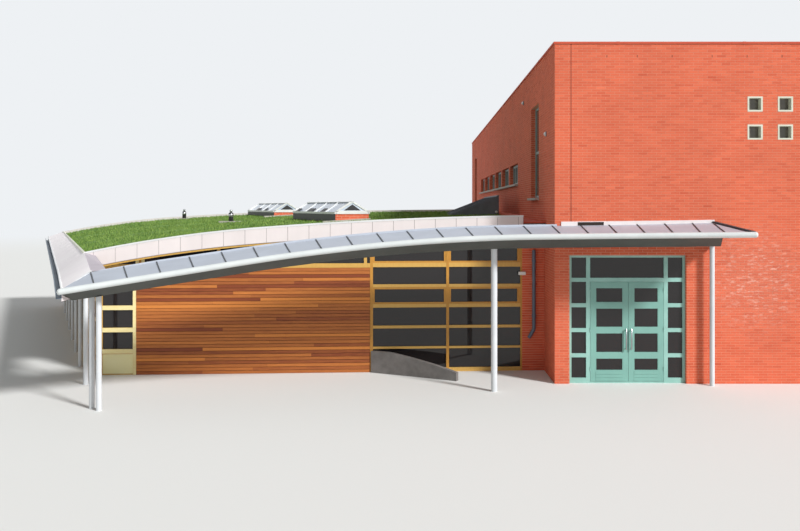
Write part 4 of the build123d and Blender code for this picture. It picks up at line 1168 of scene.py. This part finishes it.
class CENTRE_OT_rooflights(bpy.types.Operator):
    """Adds the bars, openings, painted shade sheets and edgings of the rooflights, and the roof
    vents
    """

    bl_idname = "centre.rooflights"
    bl_label = "Rooflights"

    def execute(self, context):
        sizes = context.scene.centre_sizes
        made = [self.ridge_light(np.array([x, y, 0.0]), sizes.glazing_bar, np.array(slots))
                for (x, y), slots in zip(RIDGE_LIGHTS, LIGHT_SLOTS)]
        bars, dark, shade_sheets, edging = (joined(*sum(parts, [])) for parts in zip(*made))
        piece("rooflight_bars", bars, "white_enamelled_steel")
        piece("rooflight_vent_slots", dark, "black_openings_painted_shade_and_reflection")
        piece("rooflight_shade_sheets", shade_sheets, "black_openings_painted_shade_and_reflection")
        piece("rooflight_edgings", edging, "cast_stone")
        self.lean_to(sizes)
        self.vents()
        return {"FINISHED"}

    def vents(self):
        """Roof vents: a slim pipe, black as painted dark reflection of shiny metal, with a steel
        sleeve at two thirds of its height and a round steel head, on a pale slab."""
        pipe = [(0.04, 0.078), (0.30, 0.078), (0.325, 0.06), (0.34, 0.03)]
        sleeve = [(0.195, 0.079), (0.20, 0.083), (0.275, 0.083), (0.28, 0.079)]
        head = [(0.335, 0.02), (0.35, 0.022), (0.36, 0.042), (0.39, 0.052), (0.415, 0.042),
                (0.425, 0.015)]
        pipes, steel, slabs = [], [], []
        for x, y, wide in VENTS:
            base = float(roof_height(x, y)) - GRASS_DROP
            slabs.append(blocks([x - wide, y - 0.21, base - 0.09],
                                [x + wide, y + 0.21, base + 0.045]))
            for parts, rows in ((pipes, pipe), (steel, sleeve), (steel, head)):
                parts.append(turned(x, y, [(base + z, r) for z, r in rows]))
        # The pipes' black is painted dark reflection of shiny metal
        piece("vent_pipes", joined(*pipes), "black_openings_painted_shade_and_reflection", smooth=True,
              replaces=("roof_vents",))
        piece("vent_steel", joined(*steel), "brushed_stainless_steel", smooth=True)
        piece("vent_slabs", joined(*slabs), "cast_stone")

    def ridge_light(self, corner, bar, slots):
        """Bars up both slopes, a ridge cap, eave rails and framed gables; dark openings in the
        slopes and gables; a dark sheet of painted shade on the left side; the front's pale edging.
        All are set out along the rooflight: corner + a (cos 25, sin 25) + b (-sin 25, cos 25)."""
        across = np.array([math.cos(LIGHT_TURN), math.sin(LIGHT_TURN), 0.0])
        along = np.array([-math.sin(LIGHT_TURN), math.cos(LIGHT_TURN), 0.0])
        middle, ends = LIGHT_W / 2, np.array([-0.02, LIGHT_L + 0.02])

        def at(a, b, z):
            a, b, z = places(a, b, z).T[..., None]
            return corner + a * across + b * along + z * UP

        rise = LIGHT_RIDGE - LIGHT_EAVE
        slope = math.hypot(rise, middle)
        stations = np.linspace(bar / 2, LIGHT_L - bar / 2, 5)
        parts, dark = [], []
        for a, side in ((0.0, -1), (LIGHT_W, 1)):
            out = side * across * rise / slope + UP * middle / slope
            parts.append(beams(at(a, stations, LIGHT_EAVE), at(middle, stations, LIGHT_RIDGE),
                               along * bar / 2, out * 0.028))
            parts.append(beams(*at(a, ends, LIGHT_EAVE), across * 0.025, UP * 0.06))
            climb = at(middle, 0.0, LIGHT_RIDGE) - at(a, 0.0, LIGHT_EAVE)
            foot = at(a, slots[:, 0], LIGHT_EAVE) + out * 0.004
            dark.append(beams(foot + climb * 0.10, foot + climb * 0.38,
                              along * slots[:, 1:], out * 0.03))
        parts.append(beams(*at(middle, ends, LIGHT_RIDGE - 0.01), across * 0.05, UP * 0.016))
        prism = [np.array([[0, 1, 2], [5, 4, 3]]),
                 np.array([[0, 3, 4, 1], [1, 4, 5, 2], [2, 5, 3, 0]])]
        for b, way in ((0.0, -1), (LIGHT_L, 1)):
            out = way * along
            for a in (0.0, LIGHT_W):
                parts.append(beams(at(a, b, LIGHT_EAVE + 0.03), at(middle, b, LIGHT_RIDGE - 0.02),
                                   out * 0.02, UP * 0.05))
            parts.append(beams(at(0.0, b, LIGHT_EAVE), at(LIGHT_W, b, LIGHT_EAVE), out * 0.02,
                               UP * 0.09))
            gable = at([0.25, 0.75, 0.5], b, LIGHT_EAVE + np.array([0.10, 0.10, 0.27]))
            dark.append((np.concatenate([gable + out * 0.001, gable + out * 0.008]), prism))
        # A dark sheet on the kerb's left side: painted shade
        shade_sheet = beams(*at(-0.008, [-0.01, LIGHT_L + 0.01], LIGHT_FOOT), across * 0.008,
                      UP * (LIGHT_EAVE - LIGHT_FOOT))
        kerb = at([-0.4, 1.0], -0.08, 0.0)
        kerb[:, 2] += roof_height(kerb[:, 0], kerb[:, 1]) - GRASS_DROP
        return parts, dark, [shade_sheet], [beams(*kerb, along * 0.07, UP * 0.06)]

    def lean_to(self, sizes):
        """Standing seams up the slope against the hall, and a ridge roll."""
        x0, x1 = LEAN_X
        y0, y1 = LEAN_Y
        base = roof_height(x1, y0) - GRASS_DROP
        top = base + LEAN_RISE
        y = np.linspace(y0 + 0.03, y1 - 0.03, 8)
        seams = beams(places(x0 + 0.02, y, base - 0.004), places(x1, y, top - 0.004),
                      [0, sizes.seam_width / 2, 0], UP * 0.024)
        ridge = beams([x1 - 0.03, y0 - 0.01, top - 0.02], [x1 - 0.03, y1 + 0.01, top - 0.02],
                      [0.035, 0, 0], UP * 0.045)
        piece("lean_to_seams", joined(seams, ridge), "lead_grey_sheet")


class CENTRE_OT_canopy(bpy.types.Operator):
    """Adds the canopy's seams, end strip, upstand, round nose and soffit boards"""

    bl_idname = "centre.canopy"
    bl_label = "Canopy"

    def execute(self, context):
        self.seams(context.scene.centre_sizes)
        self.end_strip()
        self.upstand()
        self.nose()
        self.soffit()
        return {"FINISHED"}

    def zinc(self, angle, back):
        """Top of the zinc: nose height + (back - nose radius) tan(pitch) + its thickness."""
        return on_canopy(angle, back, ZINC_FALL * (back - NOSE_R) + ZINC_T)

    def seams(self, sizes):
        """Standing seams from the nose to the back edge, each leaning away from the canopy's
        middle by a share of its own angle: 0.2 on the left, 0.6 on the right and 0.26 for
        the last one."""
        angles = CANOPY_ANGLES[1:-1].copy()
        angles[-1] = LAST_SEAM
        lean = np.where(angles < 0, 0.2, 0.6)
        lean[-1] = 0.26
        back = strip_width(angles) - 0.02
        foot = self.zinc(angles, np.full(len(angles), NOSE_R)) - UP * 0.004
        head = self.zinc(angles * (1 + lean * back / NOSE_LINE), back) - UP * 0.004
        across = places(np.cos(angles), -np.sin(angles), 0.0) * sizes.seam_width / 2
        piece("canopy_seams", beams(foot, head, across, UP * (sizes.seam_height + 0.004)),
              "seam_edge_zinc")

    def upstand(self):
        """The zinc's turned-up back edge left of the hall: its height grows from 14 mm at the
        corner sheet to 44 mm."""
        angles = np.radians(np.linspace(-19.9, 0.9, 60))
        height = 0.014 + 0.030 * np.clip((angles - angles[0]) / math.radians(2.5), 0, 1)
        spine = self.zinc(angles, strip_width(angles) - 0.006) - UP * 0.004
        profile = [(-0.02, 0), (0.002, 0), (0.002, 1), (-0.004, 1)]
        piece("canopy_upstand", carried(profile, spine, outwards(angles), UP * height[:, None]),
              "rolled_zinc")

    def end_strip(self):
        """A dark folded edge along the cut right end, on the zinc: in plan a line from the
        wall to the nose, at each point's own height on the zinc."""
        share = np.linspace(0.02, 0.96, 12)[:, None]
        plan = ZINC_END[0] + (ZINC_END[1] - ZINC_END[0]) * share - CANOPY_CENTRE
        angle = np.arctan2(plan[:, 0], plan[:, 1])
        spine = self.zinc(angle, np.linalg.norm(plan, axis=1) - NOSE_LINE)
        profile = [(-0.07, -0.004), (0.006, -0.004), (0.006, 0.036), (-0.07, 0.036)]
        piece("canopy_end_strip", carried(profile, spine, [1, 0, 0], UP), "seam_edge_zinc")

    def nose(self):
        """A round roll along the nose, closed by a ball at each end: its radius there is
        r sqrt(1 - (1 - s)^2), where s runs from 0 at the tip to 1."""
        angles = np.linspace(CANOPY_ANGLES[0], CANOPY_ANGLES[-1] - 0.0012, 120)
        spine = on_canopy(angles, 0, 0)
        bulge = np.linspace(0, 1, 6)[:-1]
        ball = NOSE_R * np.sqrt(1 - (1 - bulge) ** 2) + 0.002
        radii = np.concatenate([ball, np.full(len(angles), NOSE_R), ball[::-1]])[:, None]
        reach = ((1 - bulge) * NOSE_R)[:, None]
        first, last = ((a - b) / np.linalg.norm(a - b)
                       for a, b in ((spine[0], spine[1]), (spine[-1], spine[-2])))
        spine = np.concatenate([spine[0] + first * reach, spine, spine[-1] + last * reach[::-1]])
        out = radii * outwards(np.pad(angles, len(bulge), mode="edge"))
        points, faces = carried(circle(20), spine, out, radii * UP)
        piece("nose_roll", (points, [np.roll(group[:, ::-1], 1, axis=1) for group in faces]),
              "pale_nose_aluminium", replaces=("canopy_nose",), smooth=True)

    def soffit(self):
        """A board under each bay, 6 mm below the soffit, with a gap of 0.0004 radians, or
        11 mm at the nose."""
        half_gap = 0.0002
        low, high = CANOPY_ANGLES[:-1] + half_gap, CANOPY_ANGLES[1:] - half_gap
        corners = np.zeros((len(low), 8, 3))
        for i, (pa, pb, pz) in enumerate(BLOCK_CORNERS):
            angle = high if pa else low
            back = strip_width(angle) - 0.06 if pb else SOFFIT_START + 0.02
            corners[:, i] = on_canopy(angle, back, -SOFFIT_DROP - (0.0 if pz else 0.006))
        (wall_x, wall_y), (end_x, end_y) = BODY_END
        slope = (end_x - wall_x) / (end_y - wall_y)
        inside = corners[:, :, 0] < wall_x + slope * corners[:, :, 1] - 0.01
        keep = (corners[:, :, 0].min(1) > TIP[0]) & inside.all(1)
        piece("soffit_boards", hexes(corners[keep]), "dark_soffit_board")


class CENTRE_OT_finishes(bpy.types.Operator):
    """Gives every part of the model its finish"""

    bl_idname = "centre.finishes"
    bl_label = "Finishes"

    parts = {
        "stretcher_bond_brickwork": ["hall_front_pier", "hall_front_wall", "hall_front_upper_wall",
                                     "hall_left_wall", "hall_right_wall", "hall_back_wall",
                                     "brick_return", "rooflight_kerbs", "wing_back_wall"],
        "brick_red_coated_sheet": ["hall_end_copings", "hall_side_copings", "side_ledge"],
        "mineral_felt": ["hall_roof", "roof_deck"],
        "floated_floor_screed": ["floors"],
        "cast_concrete": ["garden_wall"],
        "rough_cut_turf": ["grass_roof"],
        "grey_joint_sheet": ["roof_band"],
        "pale_coated_sheet": ["roof_back_edge"],
        "white_coated_verge_sheet": ["left_verge"],
        "lead_grey_sheet": ["lean_to_rooflight"],
        "cream_powder_coat": ["hall_square_frames"],
        "grey_green_powder_coat": ["hall_side_frames"],
        "cast_stone": ["hall_sills"],
        "float_glass_painted_reflection": ["hall_glass"],
        "grey_float_glass": ["entrance_glass", "door_left_glass", "door_right_glass",
                             "wing_glass"],
        "patent_glazing_painted_sky_reflection": ["rooflight_glass"],
        "pale_green_gloss_paint": ["entrance_frame"],
        "sea_green_gloss_paint": ["door_left", "door_right"],
        "yellow_stained_softwood": ["timber_front_frame", "glazed_wall_frame", "left_facade_frame",
                                    "eaves_batten"],
        "black_breather_sheet_and_painted_shadow": ["cedar_wall"],
        "rolled_zinc": ["canopy_roof"],
        "dark_soffit_board": ["canopy_body"],
        "pale_nose_aluminium": ["canopy_nose"],
        "pale_grey_enamelled_tube": ["canopy_posts", "colonnade_posts"],
        "grey_rainwater_plastic": ["downpipe"],
        "black_openings_painted_shade_and_reflection": ["roof_vents"],
    }

    def execute(self, context):
        finishes = make_finishes(context.scene.centre_colours, context.scene.centre_sizes)
        for name, nodes in self.parts.items():
            for node in nodes:
                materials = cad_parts[node].data.materials
                materials.clear()
                materials.append(finishes[name])
        missing = set(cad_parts) - {n for nodes in self.parts.values() for n in nodes}
        if missing:
            raise RuntimeError(f"no finish is named for {sorted(missing)}")
        return {"FINISHED"}


class CENTRE_OT_stage(bpy.types.Operator):
    """Sets out the floor, the light and the camera"""

    bl_idname = "centre.stage"
    bl_label = "Stage"

    sun_share, sun_spread = 0.62, math.radians(9)
    sun_heading = np.array([-1.15, 1.0, -1.04])
    sky_share, sky_tint = 0.36, (0.95, 0.98, 1.0, 1.0)
    backdrop = "#eef1f4"
    floor_reach, fade_start, fade_end = 400.0, 45.0, 110.0
    eye = (-3.2, -19.6, 4.2)

    def execute(self, context):
        self.floor(context.scene.centre_colours)
        self.light(context.scene)
        self.camera(context.scene)
        context.scene.view_settings.view_transform = "Standard"
        return {"FINISHED"}

    def floor(self, look):
        """A pale floor that runs over into the background far from the building: share of
        background = smooth step of the distance between 45 and 110 m. Only what looks at it
        sees that, and the light that it throws on the building stays the floor's own."""
        made, tree, shader = finish("matt_studio_floor", 0.95, Base_Color=look.floor[:])
        far = add(tree, "VectorMath", {0: place_of(tree)}, operation="LENGTH").outputs["Value"]
        share = spread(tree, far, self.fade_start, self.fade_end, kind="SMOOTHSTEP")
        seen = add(tree, "Math", {0: share, 1: self.looked_at(tree)}, operation="MULTIPLY")
        beyond = add(tree, "Emission", {"Color": linear(self.backdrop)})
        mix = add(tree, "MixShader", {0: seen, 1: shader, 2: beyond})
        tree.links.new(mix.outputs[0], tree.nodes["Material Output"].inputs["Surface"])
        mesh = bpy.data.meshes.new("studio_floor")
        reach = self.floor_reach
        mesh.from_pydata([(-reach, -reach, 0), (reach, -reach, 0), (reach, reach, 0),
                          (-reach, reach, 0)], [], [(0, 1, 2, 3)])
        mesh.materials.append(made)
        floor = bpy.data.objects.new("studio_floor", mesh)
        bpy.context.scene.collection.objects.link(floor)

    def looked_at(self, tree):
        """1 for camera, glossy and transmission rays, else 0."""
        ray = add(tree, "LightPath").outputs
        gloss = add(tree, "Math", {0: ray["Is Camera Ray"], 1: ray["Is Glossy Ray"]},
                    operation="MAXIMUM")
        return add(tree, "Math", {0: gloss, 1: ray["Is Transmission Ray"]}, operation="MAXIMUM")

    def light(self, scene):
        """A soft sun from the front right, and a sky that shows pale to the camera, in gloss
        and through glass. A wall that faces the front gets pi * share / cosine from the sun."""
        aim = self.sun_heading / np.linalg.norm(self.sun_heading)
        lamp = bpy.data.lights.new("soft_sun", "SUN")
        lamp.energy = math.pi * self.sun_share / aim[1]
        lamp.angle = self.sun_spread
        sun = bpy.data.objects.new("soft_sun", lamp)
        azimuth, tilt = math.atan2(aim[1], aim[0]), math.acos(-aim[2])
        sun.rotation_euler = (tilt, 0, azimuth - math.pi / 2)
        scene.collection.objects.link(sun)
        world = bpy.data.worlds.new("studio_sky")
        world.use_nodes = True
        tree = world.node_tree
        tree.nodes.clear()
        light = add(tree, "Background", {"Color": self.sky_tint, "Strength": self.sky_share})
        shown = add(tree, "Background", {"Color": linear(self.backdrop), "Strength": 1.0})
        mix = add(tree, "MixShader", {0: self.looked_at(tree), 1: light, 2: shown})
        add(tree, "OutputWorld", {"Surface": mix})
        scene.world = world

    def camera(self, scene):
        """A level camera at the photograph's eye height, shifted to its frame."""
        lens = bpy.data.cameras.new("camera")
        lens.sensor_width = 36.0
        lens.sensor_fit = "HORIZONTAL"
        lens.lens = 37.125
        lens.shift_x, lens.shift_y = -0.025, -0.0731
        lens.clip_end = 2000.0
        camera = bpy.data.objects.new("camera", lens)
        camera.location = SITE + np.array(self.eye)
        camera.rotation_euler = (math.pi / 2, 0, 0)
        scene.collection.objects.link(camera)
        scene.camera = camera


STEPS = ["finishes", "brickwork", "wall_details", "hall_windows", "entrance", "wing_front",
         "garden_wall", "roof_edges", "grass", "rooflights", "canopy", "stage"]


class CENTRE_PT_panel(bpy.types.Panel):
    """Lists the building's sizes, colours and steps"""

    bl_idname = "CENTRE_PT_panel"
    bl_label = "Childcare Centre"
    bl_space_type = "VIEW_3D"
    bl_region_type = "UI"
    bl_category = "Centre"

    def draw(self, context):
        for group in (context.scene.centre_sizes, context.scene.centre_colours):
            box = self.layout.box()
            for name in group.bl_rna.properties.keys():
                if name not in ("rna_type", "name"):
                    box.prop(group, name)
        for step in STEPS:
            self.layout.operator(f"centre.{step}")


CLASSES = (CentreSizes, CentreColours, CENTRE_OT_finishes, CENTRE_OT_brickwork,
           CENTRE_OT_wall_details, CENTRE_OT_hall_windows, CENTRE_OT_entrance,
           CENTRE_OT_wing_front, CENTRE_OT_garden_wall, CENTRE_OT_roof_edges,
           CENTRE_OT_grass, CENTRE_OT_rooflights, CENTRE_OT_canopy, CENTRE_OT_stage,
           CENTRE_PT_panel)


def register():
    for cls in CLASSES:
        bpy.utils.register_class(cls)
    bpy.types.Scene.centre_sizes = PointerProperty(type=CentreSizes)
    bpy.types.Scene.centre_colours = PointerProperty(type=CentreColours)


def unregister():
    del bpy.types.Scene.centre_colours
    del bpy.types.Scene.centre_sizes
    for cls in reversed(CLASSES):
        bpy.utils.unregister_class(cls)


def main():
    register()
    for step in STEPS:
        getattr(bpy.ops.centre, step)()
    bpy.context.view_layer.update()


if __name__ == "__main__":
    main()
